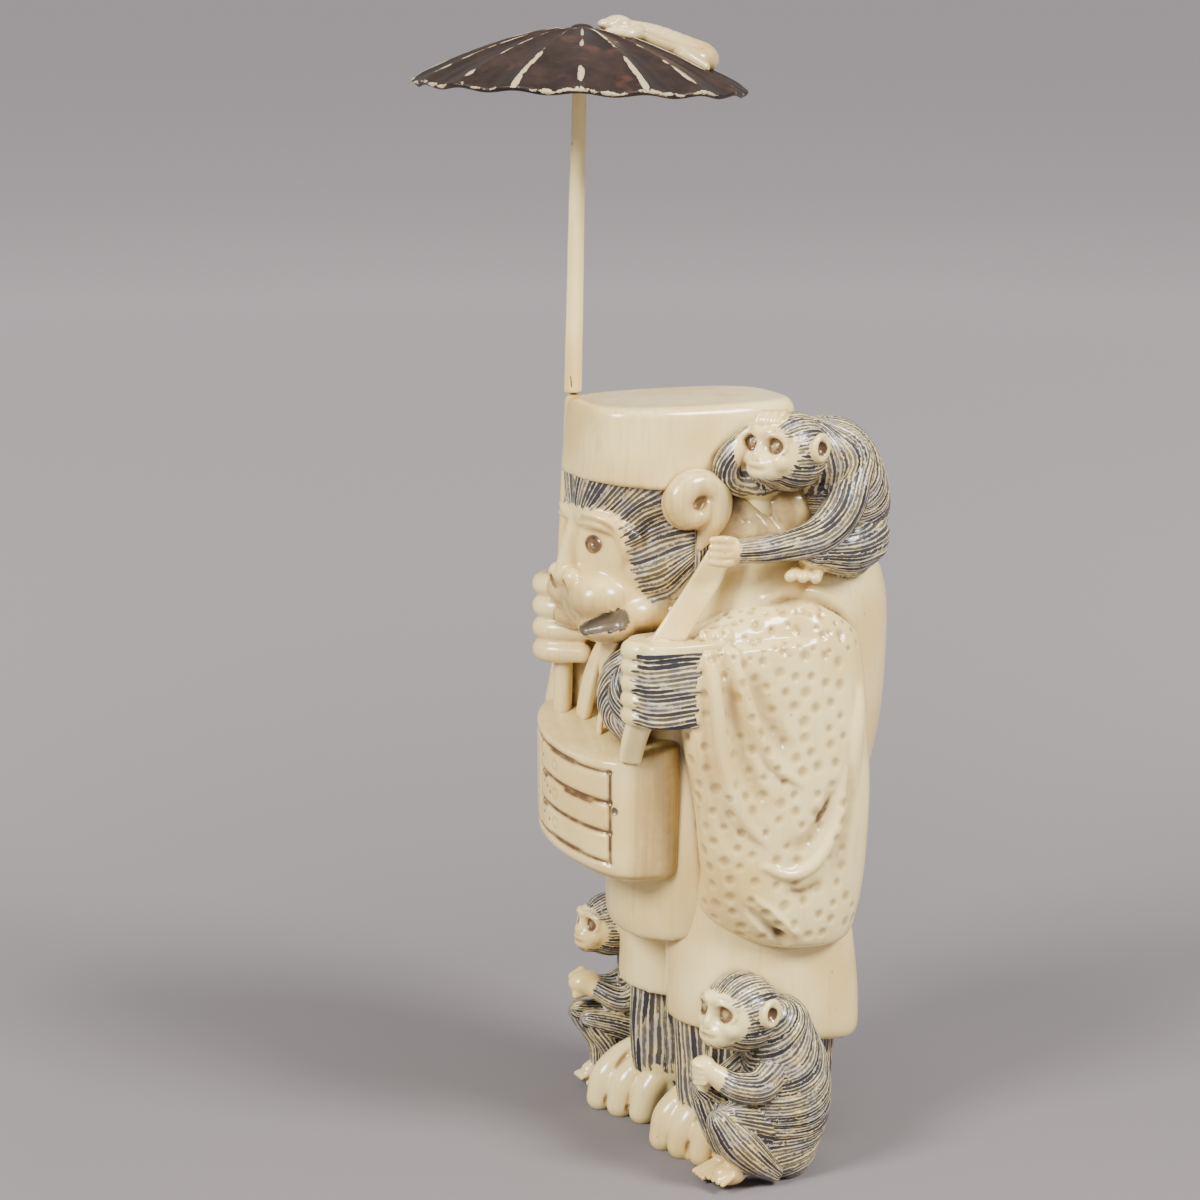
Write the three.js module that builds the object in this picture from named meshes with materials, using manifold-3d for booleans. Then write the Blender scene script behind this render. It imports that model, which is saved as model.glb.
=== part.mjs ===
// An ivory carving of a robed monkey pedlar under a parasol, with a cap, a sleeve of pocked cloth,
// a slung chest of drawers and three small monkeys. Millimetres, +Z up. While it is being made the
// figure stands about the Z axis and faces -Y, so its left side is at +X; at the end the whole is
// moved so that the origin is the middle of the box it fills, at the soles of the feet.
import * as THREE from 'three';
import { mergeVertices } from 'three/addons/utils/BufferGeometryUtils.js';
import Module from 'manifold-3d';

const wasm = await Module();
wasm.setup();

// ---------------------------------------------------------------- driving dimensions
const CAP_TOP = 121.4;        // flat top of the tall cap
const CAP_RIM = 107.8;        // its lower edge, just above the brow
const CHIN = 84.5;
const EYE_LEVEL = 100.2;
const FACE_FRONT = -24;       // the forward faces of brow and muzzle, on Y
const SHOULDER = 98;          // top of the robe where the shoulder monkey sits
const COAT_HEM = 38;
const TROUSER_HEM = 20.5;
const HEM_FALL = 0.19;        // how much the trouser hem falls for each mm towards the back
const POLE = { x: -8, r: 1.35, topR: 1.05 };
const CANOPY = { x: -8, y: -20.3, z: 169.1, r: 26, rise: 8.8, wall: 1.5, rim: 0.8, ribs: 16, tilt: -2.2 };
const CHEST = {               // slung askew: its far side hangs higher, and it is deeper at its back
  half: 13.2, back: -11.5, side: -23.2, farAhead: 2.6, bow: 4, bottom: 48.4, top: 68.6,
  slantBelow: -0.13, slantAbove: -0.2, spreadBelow: -0.1, spreadAbove: 0.18,
};
const TOES = 4;
const RIM_UNDERCUT = 0.4;
const JOINT_GAP = 0.3;        // clearance left between touching pieces
const SHORTEST_EDGE = 1.05;

const IVORY = 0xe9dcbc;
const LACQUER = 0x3a2320;

// ---------------------------------------------------------------- making and joining solids
function toSolid(geometry) {
  const bare = geometry.clone();
  bare.deleteAttribute('normal');
  bare.deleteAttribute('uv');
  const merged = mergeVertices(bare, 1e-4);
  const corners = [];
  const index = merged.index.array;
  for (let i = 0; i < index.length; i += 3) {
    const [a, b, c] = [index[i], index[i + 1], index[i + 2]];
    if (a !== b && b !== c && a !== c) corners.push(a, b, c);
  }
  return new wasm.Manifold(new wasm.Mesh({
    numProp: 3,
    vertProperties: new Float32Array(merged.attributes.position.array),
    triVerts: new Uint32Array(corners),
  }));
}

function toMesh(name, solid, color, roughness) {
  const made = solid.getMesh();
  const geometry = new THREE.BufferGeometry();
  geometry.setAttribute('position', new THREE.BufferAttribute(made.vertProperties.slice(), 3));
  geometry.setIndex(new THREE.BufferAttribute(made.triVerts.slice(), 1));
  geometry.computeVertexNormals();
  const material = new THREE.MeshStandardMaterial({ color, roughness, metalness: 0 });
  const mesh = new THREE.Mesh(geometry, material);
  mesh.name = name;
  return mesh;
}

const join = (solids) => solids.reduce((whole, next) => whole.add(next));

// the block itself, without any pocket left closed up inside it
const mainBody = (solid) => solid.decompose().sort((a, b) => b.volume() - a.volume())[0];

// Joining many forms leaves needle-thin facets along the seams. Each edge shorter than `shortest`
// is closed up to its middle wherever that keeps the skin closed and folds no facet over.
function closeShortEdges(solid, shortest) {
  const made = solid.getMesh();
  const points = [];
  for (let i = 0; i < made.vertProperties.length; i += 3) {
    points.push(new THREE.Vector3().fromArray(made.vertProperties, i));
  }
  const facets = [];
  const around = points.map(() => new Set());
  for (let i = 0; i < made.triVerts.length; i += 3) {
    const facet = Array.from(made.triVerts.slice(i, i + 3));
    facet.forEach((corner) => around[corner].add(facets.length));
    facets.push(facet);
  }
  const neighbours = (v) => new Set([...around[v]].flatMap((f) => facets[f]).filter((w) => w !== v));
  const triangle = new THREE.Triangle();
  const normal = (facet, place) => {
    triangle.set(...facet.map(place));
    return triangle.getNormal(new THREE.Vector3());
  };
  const closeEdge = (a, b) => {
    const shared = [...neighbours(a)].filter((w) => neighbours(b).has(w));
    if (shared.length !== 2) return false;
    const middle = points[a].clone().lerp(points[b], 0.5);
    const moved = (v) => (v === a || v === b ? middle : points[v]);
    const kept = new Set([...around[a], ...around[b]].filter((f) => !(around[a].has(f) && around[b].has(f))));
    for (const f of kept) {
      const before = normal(facets[f], (v) => points[v]);
      if (triangle.getArea() > 0.002 && before.dot(normal(facets[f], moved)) < 0.8) return false;
    }
    for (const f of around[a]) {
      if (!kept.has(f)) facets[f].forEach((v) => v !== a && around[v].delete(f));
    }
    for (const f of kept) facets[f] = facets[f].map((v) => (v === b ? a : v));
    points[a].copy(middle);
    around[a] = kept;
    around[b] = new Set();
    return true;
  };
  for (const limit of [0.4, 0.7, 1].map((part) => part * shortest)) {
    for (let f = 0; f < facets.length; f += 1) {
      for (let k = 0; k < 3; k += 1) {
        const [a, b] = [facets[f][k], facets[f][(k + 1) % 3]];
        const open = around[a].has(f) && around[b].has(f) && points[a].distanceTo(points[b]) < limit;
        if (open && closeEdge(a, b)) break;
      }
    }
  }
  const left = facets.filter((facet, f) => facet.every((v) => around[v].has(f)));
  const geometry = new THREE.BufferGeometry();
  geometry.setAttribute('position', new THREE.Float32BufferAttribute(points.flatMap((p) => p.toArray()), 3));
  geometry.setIndex(left.flat());
  return toSolid(geometry);
}

function moveEach(geometry, move) {
  const position = geometry.attributes.position;
  const point = new THREE.Vector3();
  for (let i = 0; i < position.count; i += 1) {
    point.fromBufferAttribute(position, i);
    move(point);
    position.setXYZ(i, point.x, point.y, point.z);
  }
  return geometry;
}

// ---------------------------------------------------------------- the carver's basic forms
// how many facets go round a form: fewer on a smaller one
const FACETS = [[12, 20], [8, 16], [5, 12], [3.2, 9], [1.8, 8], [0, 6]];
const steps = (size) => FACETS.find(([least]) => size > least)[1];

// an egg-shaped swelling: its middle, its three half-sizes and its turns in degrees
function blob([x, y, z], [rx, ry, rz], [ax, ay, az] = [0, 0, 0]) {
  const around = steps(Math.max(rx, ry, rz));
  const geometry = new THREE.SphereGeometry(1, around, Math.round(around * 0.5));
  geometry.scale(rx, ry, rz);
  geometry.rotateX(THREE.MathUtils.degToRad(ax));
  geometry.rotateY(THREE.MathUtils.degToRad(ay));
  geometry.rotateZ(THREE.MathUtils.degToRad(az));
  geometry.translate(x, y, z);
  return toSolid(geometry);
}

function blend(values, t) {
  const last = values.length - 1;
  const i = Math.min(Math.floor(t * last), last - 1);
  const u = t * last - i;
  const [a, b] = [values[i], values[i + 1]];
  const before = values[Math.max(i - 1, 0)];
  const after = values[Math.min(i + 2, last)];
  const bend = (2 * before - 5 * a + 4 * b - after) * u * u;
  return a + 0.5 * ((b - before) * u + bend + (3 * a - before - 3 * b + after) * u * u * u);
}

// a limb with round ends, along a smooth path, with a radius at each point of the path
function limb(path, radii, sides = steps(Math.max(...radii))) {
  const curve = new THREE.CatmullRomCurve3(path.map((p) => new THREE.Vector3(...p)));
  const spans = Math.ceil((path.length - 1) * 1.6);
  const frames = curve.computeFrenetFrames(spans);
  const geometry = new THREE.CapsuleGeometry(1, 1, sides > 6 ? 2 : 1, sides, spans);
  moveEach(geometry, (p) => {
    const t = THREE.MathUtils.clamp(p.y + 0.5, 0, 1);
    const beyond = p.y + 0.5 - t;
    const ring = Math.round(t * spans);
    const r = blend(radii, t);
    const [x, z] = [p.x, p.z];
    p.copy(curve.getPointAt(t));
    p.addScaledVector(frames.tangents[ring], beyond * r);
    p.addScaledVector(frames.binormals[ring], x * r);
    p.addScaledVector(frames.normals[ring], z * r);
  });
  return toSolid(geometry);
}

// a band of even width and thickness along a path; its width lies along `across`
function band(path, width, thick, across) {
  const curve = new THREE.CatmullRomCurve3(path.map((p) => new THREE.Vector3(...p)));
  const spans = path.length;
  const wide = new THREE.Vector3(...across).normalize();
  const geometry = new THREE.BoxGeometry(width, 1, thick, 1, spans, 1);
  moveEach(geometry, (p) => {
    const t = THREE.MathUtils.clamp(p.y + 0.5, 0, 1);
    const along = curve.getTangentAt(t);
    const side = wide.clone().addScaledVector(along, -wide.dot(along)).normalize();
    const out = side.clone().cross(along);
    const [x, z] = [p.x, p.z];
    p.copy(curve.getPointAt(t)).addScaledVector(side, x).addScaledVector(out, z);
  });
  return toSolid(geometry);
}

// a form through level sections [z, middle x, middle y, half x, half y, squareness];
// `fall` lowers each section towards +Y by that slope, fading out to the top
function loft(sections, { around = 26, rings = 10, fall = 0 } = {}) {
  const geometry = new THREE.CylinderGeometry(1, 1, 1, around, rings);
  const column = (k) => sections.map((section) => section[k] ?? 2);
  const [zs, xs, ys, rxs, rys, powers] = [0, 1, 2, 3, 4, 5].map(column);
  moveEach(geometry, (p) => {
    const t = THREE.MathUtils.clamp(p.y + 0.5, 0, 1);
    const size = Math.hypot(p.x, p.z);
    const power = blend(powers, t);
    const [c, s] = size > 1e-6 ? [p.x / size, -p.z / size] : [0, 0];
    const reach = size > 1e-6 ? size / (Math.abs(c) ** power + Math.abs(s) ** power) ** (1 / power) : 0;
    const y = blend(rys, t) * s * reach;
    p.set(blend(xs, t) + blend(rxs, t) * c * reach, blend(ys, t) + y, blend(zs, t) - fall * y * (1 - t));
  });
  return toSolid(geometry);
}

// ---------------------------------------------------------------- a monkey's head, at any size
// Built facing -Y about the middle of the skull, at a skull radius of 1, then turned and set in place
function monkeyHead([x, y, z], size, [pitch, roll, yaw]) {
  const at = (px, py, pz) => {
    const point = new THREE.Vector3(px, py, pz).multiplyScalar(size);
    point.applyEuler(new THREE.Euler(...[pitch, roll, yaw].map(THREE.MathUtils.degToRad), 'ZYX'));
    return [point.x + x, point.y + y, point.z + z];
  };
  const turn = [pitch, roll, yaw];
  const scaled = (sizes) => sizes.map((s) => s * size);
  const solids = [
    blob([x, y, z], scaled([0.96, 1, 0.98]), turn),
    blob(at(0, -0.72, -0.42), scaled([0.52, 0.52, 0.42]), turn),
    blob(at(0, -0.55, -0.05), scaled([0.66, 0.46, 0.62]), turn),
    limb([at(-0.55, -0.78, 0.3), at(0, -0.98, 0.36), at(0.55, -0.78, 0.3)], scaled([0.13, 0.15, 0.13])),
  ];
  for (const side of [-1, 1]) {
    solids.push(blob(at(side * 0.32, -0.86, 0.08), scaled([0.16, 0.12, 0.13]), turn));
    solids.push(blob(at(side * 1.0, -0.02, 0.05), scaled([0.14, 0.3, 0.34]), turn));
  }
  return solids;
}

// ---------------------------------------------------------------- the pedlar's head and cap
function cap() {
  return loft([
    [CAP_RIM, 0.4, -7.4, 12.8, 17.8, 3],
    [CAP_RIM + 2, 0.4, -7.3, 12.7, 17.7, 3],
    [CAP_RIM + 7, 0.4, -7.1, 12.3, 17.5, 3],
    [CAP_TOP - 2, 0.4, -6.8, 12, 17.3, 3],
    [CAP_TOP - 0.6, 0.4, -6.8, 11.6, 16.9, 3],
    [CAP_TOP, 0.4, -6.8, 10.4, 15.7, 3],
  ], { around: 32, rings: 6, fall: 0.12 });
}

function head() {
  const skull = join([
    blob([0, -7.5, 99.5], [13.4, 15.2, 13]),
    blob([0, -15.5, 98.5], [10.2, 9, 10.5]),
    blob([0, -12.6, 104.5], [11.4, 11.2, 6.8]),
    blob([0, -20, 91.8], [8.4, 7.9, 6.6]),
    blob([0, -16.5, CHIN + 4.6], [9.8, 8.4, 5.2]),
    limb([[-8, -18.8, 103.4], [-4.2, -22.4, 104], [0, -23.2, 103.4],
      [4.2, -22.4, 104], [8, -18.8, 103.4]], [1.4, 1.6, 1.2, 1.6, 1.4]),
    blob([0, -25.2, 96.4], [1.9, 2.2, 4.4]),
    blob([0, -27, 93.8], [2.2, 1.7, 1.8]),
  ]);
  const socket = (side) => blob([side * 5.1, FACE_FRONT - 0.6, EYE_LEVEL], [2.5, 2.4, 2]);
  const eye = (side) => blob([side * 5, FACE_FRONT + 1.4, EYE_LEVEL], [1.9, 1.9, 1.7]);
  const wing = (side) => blob([side * 2, -26.6, 93.2], [1.4, 1.5, 1.2]);
  const mouth = limb([[-8.6, -20.5, 87.6], [-5.5, -25.8, 88.6], [0, -28.4, 88.9],
    [5.5, -25.8, 88.6], [8.6, -20.5, 87.6]], [0.75, 0.5, 0.4, 0.5, 1]);
  const carved = skull.subtract(socket(1)).subtract(socket(-1)).subtract(mouth);
  return join([carved, eye(1), eye(-1), wing(1), wing(-1)]);
}

// the ear curls in on itself like a scroll: a roll that winds in from its lobe
function ear(side) {
  const middle = { y: -11.4, z: 107 };
  const path = [[side * 12, -7.2, 97.8], [side * 13, -6.6, 102]];
  for (let i = 0; i <= 7; i += 1) {
    const turn = THREE.MathUtils.degToRad(-5 + i * 52);
    const reach = 4.7 - i * 0.52;
    const [y, z] = [middle.y + reach * Math.cos(turn), middle.z + reach * Math.sin(turn)];
    path.push([side * (13.6 - i * 0.05), y, z]);
  }
  return limb(path, [1, 1.5, 1.8, 1.9, 1.9, 1.8, 1.6, 1.4, 1.2, 1], 6);
}

// ---------------------------------------------------------------- dress
function robe() {
  const back = loft([
    [COAT_HEM, 0, 3.2, 17.6, 16.6, 2.4],
    [COAT_HEM + 8, 0, 3.8, 18.2, 17.4, 2.4],
    [58, 0, 4.8, 18.8, 18.4, 2.3],
    [69, 0, 6.8, 19, 19.4, 2.2],
    [81, 0, 7.8, 19, 19.4, 2.2],
    [91, 0, 8, 18.5, 18.8, 2.2],
    [SHOULDER + 1, 0, 7.6, 15.5, 16, 2.1],
    [SHOULDER + 6, 0, 7, 10, 11.5],
  ], { around: 28, rings: 11 });
  const front = loft([
    [COAT_HEM, 0, -5.6, 14, 11.4, 2.3],
    [COAT_HEM + 6, 0, -5.8, 14.4, 11.8, 2.3],
    [60, 0, -5.5, 14, 12, 2.3],
    [78, 0, -5, 12, 12.6, 2.2],
    [90, 0, -5, 11, 11, 2],
  ], { around: 16, rings: 4, fall: -0.2 });
  return back.add(front);
}

// each leg of the trousers is a wide soft block, its hem falling towards the back
function trouserLeg(side) {
  return loft([
    [TROUSER_HEM, side * 9.6, 3.9, 8.9, 15.1, 2.5],
    [TROUSER_HEM + 0.9, side * 9.6, 3.9, 9.5, 15.8, 2.5],
    [TROUSER_HEM + 9, side * 9.3, 3.8, 9.4, 15.8, 2.5],
    [COAT_HEM + 8, side * 8, 3, 9, 15, 2.4],
  ], { around: 24, rings: 5, fall: HEM_FALL });
}

function leg(side) {
  return loft([
    [0, side * 9, 5.5, 5.6, 9.6],
    [7, side * 9, 5.2, 5.8, 9.8],
    [14, side * 9, 4.8, 6.2, 10.6],
    [24, side * 9, 4.6, 7, 12],
  ], { around: 18, rings: 3 });
}

// a broad bare foot: four thick toes fan out from the instep
function foot(side, middle, firstToe, lastToe) {
  const solids = [blob([side * 9.3, 1, 1.5], [7.4, 11.9, 8])];
  for (let i = 0; i < TOES; i += 1) {
    const x = middle + (i - (TOES - 1) / 2) * 4.3;
    const front = THREE.MathUtils.lerp(firstToe, lastToe, i / (TOES - 1));
    solids.push(limb([[x * 0.96, -4, 5.6], [x, front + 5, 5.2], [x, front + 2.1, 2.2]], [2.6, 2.5, 2.1], 8));
  }
  return join(solids);
}

// the near sleeve hangs from the armhole like a full sack, its mouth about the wrist
function nearSleeve() {
  const sack = loft([
    [35.8, 12.5, 7.6, 8.4, 7.4, 2.2],
    [37.2, 12.6, 6.4, 9.8, 10.6, 2.2],
    [41.5, 12.7, 4.6, 10.5, 13, 2.3],
    [48, 13, 3.6, 10.7, 14.9, 2.4],
    [60, 13, 3.4, 10.7, 15.4, 2.5],
    [72, 13, 3, 10.4, 15.1, 2.5],
    [81, 12.8, 2.6, 10.1, 14.6, 2.4],
    [86, 12.4, 2, 9.4, 13.4, 2.3],
    [89, 12, 3, 8.6, 10.4, 2.1],
    [92.4, 11, 4, 6, 5],
  ], { around: 28, rings: 16 });
  const fold = (path) => limb(path.map(([y, z, x = 22.9]) => [x, y, z]), path.map(() => 0.9), 6);
  return join([
    sack,
    fold([[-11, 86, 21], [-10.2, 76], [-8.4, 63], [-1.5, 53.4]]),
    fold([[-7.4, 86, 21.6], [-4.6, 75], [3.8, 63]]),
    fold([[-2, 50.2], [3, 49.2], [8, 52.4], [11.6, 60, 22.2], [11.8, 69, 21.9]]),
    fold([[-6.4, 45], [-1, 40.4, 22.4], [2, 37.4, 21]]),
  ]);
}

// the robe's edge stands proud round the armhole
function armhole() {
  const path = [];
  for (let i = 0; i <= 8; i += 1) {
    const turn = THREE.MathUtils.degToRad(168 - i * 24);
    const inward = Math.max(0, Math.sin(turn)) * 2.6;
    path.push([20.2 - inward, 4.2 + 12.4 * Math.cos(turn), 80 + 12.6 * Math.sin(turn)]);
  }
  return limb(path, path.map(() => 1.2), 6);
}

function farSleeve() {
  return loft([
    [38.5, -12.5, 0, 8, 9, 2.2],
    [42, -13, -1.6, 9.8, 14.4, 2.3],
    [50, -13.6, -4, 10.6, 19, 2.5],
    [62, -13.8, -4.4, 10.8, 19.4, 2.5],
    [73, -13.6, -4.2, 10.4, 18.8, 2.4],
    [84, -12.8, -3, 9.4, 16.6, 2.3],
    [90, -11.6, 0, 7.6, 11, 2.1],
    [93, -11, 3, 5, 6],
  ], { around: 26, rings: 12 });
}

// ---------------------------------------------------------------- hands, pole, straps and chest
// four rolled fingers, one above the other, wrapped round whatever the hand grips
function grip(fingers, low, high, path, radius) {
  const solids = [];
  for (let i = 0; i < fingers; i += 1) {
    const z = THREE.MathUtils.lerp(low, high, i / (fingers - 1));
    solids.push(limb(path.map(([x, y, dz = 0]) => [x, y, z + dz]), path.map(() => radius), 8));
  }
  return join(solids);
}

function nearFist() {
  return join([
    blob([14.6, -16, 79.8], [5.4, 5, 7.4]),
    limb([[15, -15.6, 79.8], [15.4, -8, 80]], [6.2, 6]),
    grip(4, 74.6, 85.2, [[18.6, -16.2], [14.6, -22], [9.8, -17.8]], 2.05),
  ]);
}

function farFist() {
  return join([
    blob([-10.4, -20.4, 86.4], [4.6, 4.4, 6.4]),
    limb([[-11, -19, 86], [-13, -9, 84]], [5, 6.4]),
    grip(4, 80.4, 91.4, [[-13.6, -20.4], [-9.2, -25.8], [-4.4, -21.4]], 1.95),
  ]);
}

// the lower half of the pole is cut from the same block as the cap and the fist
function lowerPole() {
  const path = [[POLE.x, -21.6, CAP_TOP - 0.1], [POLE.x - 0.6, -22.3, 100], [POLE.x, -23.6, CHEST.top - 1]];
  return limb(path, [POLE.r, POLE.r + 0.15, POLE.r + 0.25], 10);
}

function chest() {
  const { half, back, side, bow, bottom, top, farAhead } = CHEST;
  const outline = new THREE.Shape();
  outline.moveTo(-half, back);
  outline.lineTo(half, back);
  outline.lineTo(half, side + 1);
  outline.quadraticCurveTo(half, side, half - 1, side - 0.3);
  outline.quadraticCurveTo(0, side - 2 * bow, 1 - half, side - farAhead - 0.3);
  outline.quadraticCurveTo(-half, side - farAhead, -half, side - farAhead + 1);
  outline.closePath();
  const bevel = 0.7;
  const geometry = new THREE.ExtrudeGeometry(outline, {
    depth: top - bottom - 2 * bevel, bevelThickness: bevel, bevelSize: bevel, bevelOffset: -bevel,
    bevelSegments: 1, curveSegments: 6,
  });
  geometry.translate(0, 0, bottom + bevel);
  moveEach(geometry, (p) => {
    const up = (p.z - bottom) / (top - bottom);
    const slant = THREE.MathUtils.lerp(CHEST.slantBelow, CHEST.slantAbove, up);
    const spread = THREE.MathUtils.lerp(CHEST.spreadBelow, CHEST.spreadAbove, up);
    p.z += slant * (p.x - half / 3) + spread * (p.y - side);
  });
  return toSolid(geometry);
}

function straps() {
  const across = [0.5, 0.6, 0.62];
  return join([
    band([[12.4, -4.4, 101.4], [14.6, -8.4, 97], [15.8, -13.4, 91.6], [15.8, -18, 86]], 4.2, 1.8, across),
    band([[14.6, -20.4, 74.6], [12.4, -21.4, 70.6], [10.6, -21.2, 67.4]], 4, 1.8, [0.2, 1, 0]),
    band([[1, -19.4, 85], [-2.4, -20.8, 77.6], [-5.4, -21.8, 67.6]], 3.4, 1.6, [1, 0, 0]),
    blob([3, -17.6, 74.6], [5.6, 4.6, 7]),
  ]);
}

// ---------------------------------------------------------------- the small monkeys
function shoulderMonkey() {
  return join([
    ...monkeyHead([17.4, 3.2, 114.4], 5.9, [-8, 0, 28]),
    limb([[15.8, 7, 110.4], [15.2, 13, 109.6], [14, 15.2, 102]], [5.8, 7.2, 6.8]),
    limb([[12.6, 6, 108.6], [13.6, -3.6, 110.4], [14.8, -4.8, 113.4],
      [16.8, 0.4, 119.6]], [2.4, 2.2, 2.1, 1.7]),
    limb([[19.2, 14.4, 110.4], [21, 9, 102.4], [20.2, 4.6, 100.2], [18.6, -6, 99.8]], [3.2, 2.9, 2.5, 2]),
    grip(3, 98.4, 101.2, [[18.8, -5], [18, -9.6]], 0.8),
    blob([17, 14, 99.8], [6.2, 6.4, 5.2]),
    limb([[17.6, 12, 98], [19.4, 4, 97]], [2.6, 1.9]),
    blob([12.6, 0.6, 105.4], [2.4, 2.8, 3.2]),
  ]);
}

// squats with its knees up and its hands together before its chest
function nearMonkey() {
  return join([
    ...monkeyHead([22.8, -5.6, 28], 6.1, [-4, 0, 16]),
    limb([[21.6, -1.6, 22], [20.4, 2.4, 13.4], [19.8, 2, 6.8]], [5.6, 7.2, 7]),
    limb([[24.4, 0, 19], [26, -4, 14.8], [24.8, -9.4, 16.8], [23.2, -12.2, 19.4]], [2.8, 2.4, 2, 1.6]),
    limb([[18.6, -2.4, 18], [18.2, -7.4, 15.4], [20.6, -11, 17.2],
      [22.2, -12.2, 19.4]], [2.4, 2.2, 1.9, 1.5]),
    blob([22.8, -12.4, 19.6], [1.9, 1.6, 2.4]),
    limb([[24, 4, 6.4], [25.8, -3.4, 9.6], [26, -10.6, 12.6]], [4.6, 3.8, 3]),
    limb([[26, -10.8, 12.4], [26, -7.2, 6.8], [26, -3.6, 2.9]], [2.9, 2.8, 2.4]),
    limb([[18.6, 0, 8], [19.4, -7, 12], [19.6, -10.8, 14.6]], [4, 3.4, 2.8]),
    limb([[19.6, -10.8, 14.2], [20, -8.2, 7], [20.4, -6.2, 2.6]], [2.7, 2.6, 2.2]),
    limb([[26.2, -3.6, 1.7], [26.2, -9, 2], [26, -13, 1.6]], [2, 1.9, 1.7]),
    limb([[20.6, -5, 1.6], [20.6, -12.2, 1.4]], [2, 1.8]),
  ]);
}

function farMonkey() {
  return join([
    ...monkeyHead([-24.4, -8.2, 28.8], 5.5, [-4, 0, 4]),
    limb([[-23, -3.4, 22.6], [-21.6, 0.6, 14], [-21.4, 0.8, 6.8]], [5.2, 7, 6.8]),
    limb([[-20.6, -3, 19.4], [-20.6, -6.8, 17], [-24.4, -12.6, 18.6]], [2.2, 2, 1.5]),
    limb([[-27.4, -2, 19], [-28.4, -6.6, 16.6], [-26, -12.6, 18.6]], [2.3, 2.1, 1.5]),
    blob([-25.2, -13.2, 19], [1.9, 1.6, 2]),
    limb([[-20.8, 0, 7], [-21.4, -9, 11], [-22, -13, 13]], [4, 3.2, 2.6]),
    limb([[-22, -13, 12.8], [-22, -10.6, 7], [-22, -8.6, 2.6]], [2.6, 2.5, 2.1]),
    limb([[-26.6, 0, 7], [-27.4, -8.6, 10.8], [-27, -12.8, 13]], [4, 3.2, 2.6]),
    limb([[-27, -12.8, 12.8], [-27.2, -10.6, 7], [-27.2, -8.6, 2.6]], [2.6, 2.5, 2.1]),
    limb([[-22, -7.6, 1.6], [-22.2, -14, 1.4]], [1.9, 1.7]),
    limb([[-27.4, -7.6, 1.6], [-27.6, -14, 1.4]], [1.9, 1.7]),
  ]);
}

function monkeyFigure() {
  const block = join([
    cap(), head(), ear(1), ear(-1), robe(), nearSleeve(), armhole(), farSleeve(),
    trouserLeg(1), trouserLeg(-1), leg(1), leg(-1), foot(1, 10.9, -14, -11), foot(-1, -9.5, -16, -11),
    chest(), straps(), nearFist(), farFist(), lowerPole(),
    shoulderMonkey(), nearMonkey(), farMonkey(),
  ]);
  const ground = new THREE.BoxGeometry(120, 120, 30).translate(0, 0, -15);
  const aboveCap = new THREE.BoxGeometry(6, 6, 6).translate(POLE.x, -21.6, CAP_TOP + 3);
  const carved = closeShortEdges(mainBody(block), SHORTEST_EDGE);
  return mainBody(carved.subtract(toSolid(ground)).subtract(toSolid(aboveCap)));
}

// ---------------------------------------------------------------- parasol
const domeHeight = (r) => CANOPY.rise * (1 - (r / CANOPY.r) ** 1.55);

// a gored dome: ribs stand a little proud and the cloth between them sags and is scalloped
function dome(lift, wall, rim) {
  const profile = [];
  const rings = 6;
  for (let i = 0; i <= rings; i += 1) profile.push(new THREE.Vector2(CANOPY.r * i / rings, 0));
  profile.push(new THREE.Vector2(CANOPY.r - RIM_UNDERCUT, 1));
  for (let i = rings - 1; i >= 0; i -= 1) profile.push(new THREE.Vector2(CANOPY.r * i / rings, 1));
  const geometry = new THREE.LatheGeometry(profile.reverse(), CANOPY.ribs * 2);
  moveEach(geometry, (p) => {
    const r = Math.hypot(p.x, p.z);
    const angle = Math.atan2(-p.z, p.x);
    const between = 0.5 - 0.5 * Math.cos(angle * CANOPY.ribs);
    const out = r / CANOPY.r;
    const reach = r * (1 - 0.022 * between * out ** 6);
    const depth = THREE.MathUtils.lerp(wall, rim, out ** 2);
    const z = domeHeight(r) - 0.45 * between * out - p.y * depth + lift;
    p.set(reach * Math.cos(angle), reach * Math.sin(angle), z);
  });
  return toSolid(geometry);
}

function canopy() {
  return dome(0, CANOPY.wall, CANOPY.rim).add(blob([0, 0, CANOPY.rise - 0.3], [1.7, 1.7, 0.9]));
}

// a small monkey lies along the slope of the canopy, its head near the top
function canopyMonkey() {
  const slope = (r) => domeHeight(r) + 1;
  const body = join([
    limb([[8, 0, slope(8)], [13, 0.3, slope(13) + 0.2], [18, 0, slope(18) + 0.4]], [2.1, 2.5, 2.5]),
    blob([5.2, -0.4, slope(4.8) + 0.5], [2.4, 2.2, 1.9]),
    blob([3.6, -0.6, slope(3) + 0.1], [1.3, 1.2, 0.9]),
    limb([[8, 2.2, slope(8) - 0.4], [4.4, 3.2, slope(4.4) - 0.8]], [1.2, 1]),
    limb([[8, -2.2, slope(8) - 0.4], [4.8, -3.4, slope(4.8) - 0.8]], [1.2, 1]),
    ...[1, -1].map((side) => limb([[17.6, side * 2.4, slope(18) - 0.4], [15, side * 3.8, slope(15) - 0.8],
      [18.6, side * 4, slope(18.6) - 1]], [1.7, 1.4, 1])),
  ]);
  return body;
}

const canopyTurn = new THREE.Matrix4().makeRotationX(THREE.MathUtils.degToRad(CANOPY.tilt));
const canopyPlace = new THREE.Matrix4().makeTranslation(CANOPY.x, CANOPY.y, CANOPY.z).multiply(canopyTurn);
const riderTurn = new THREE.Matrix4().makeRotationZ(THREE.MathUtils.degToRad(67));
const setOnPole = (solid) => solid.transform(canopyPlace.elements);

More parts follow.
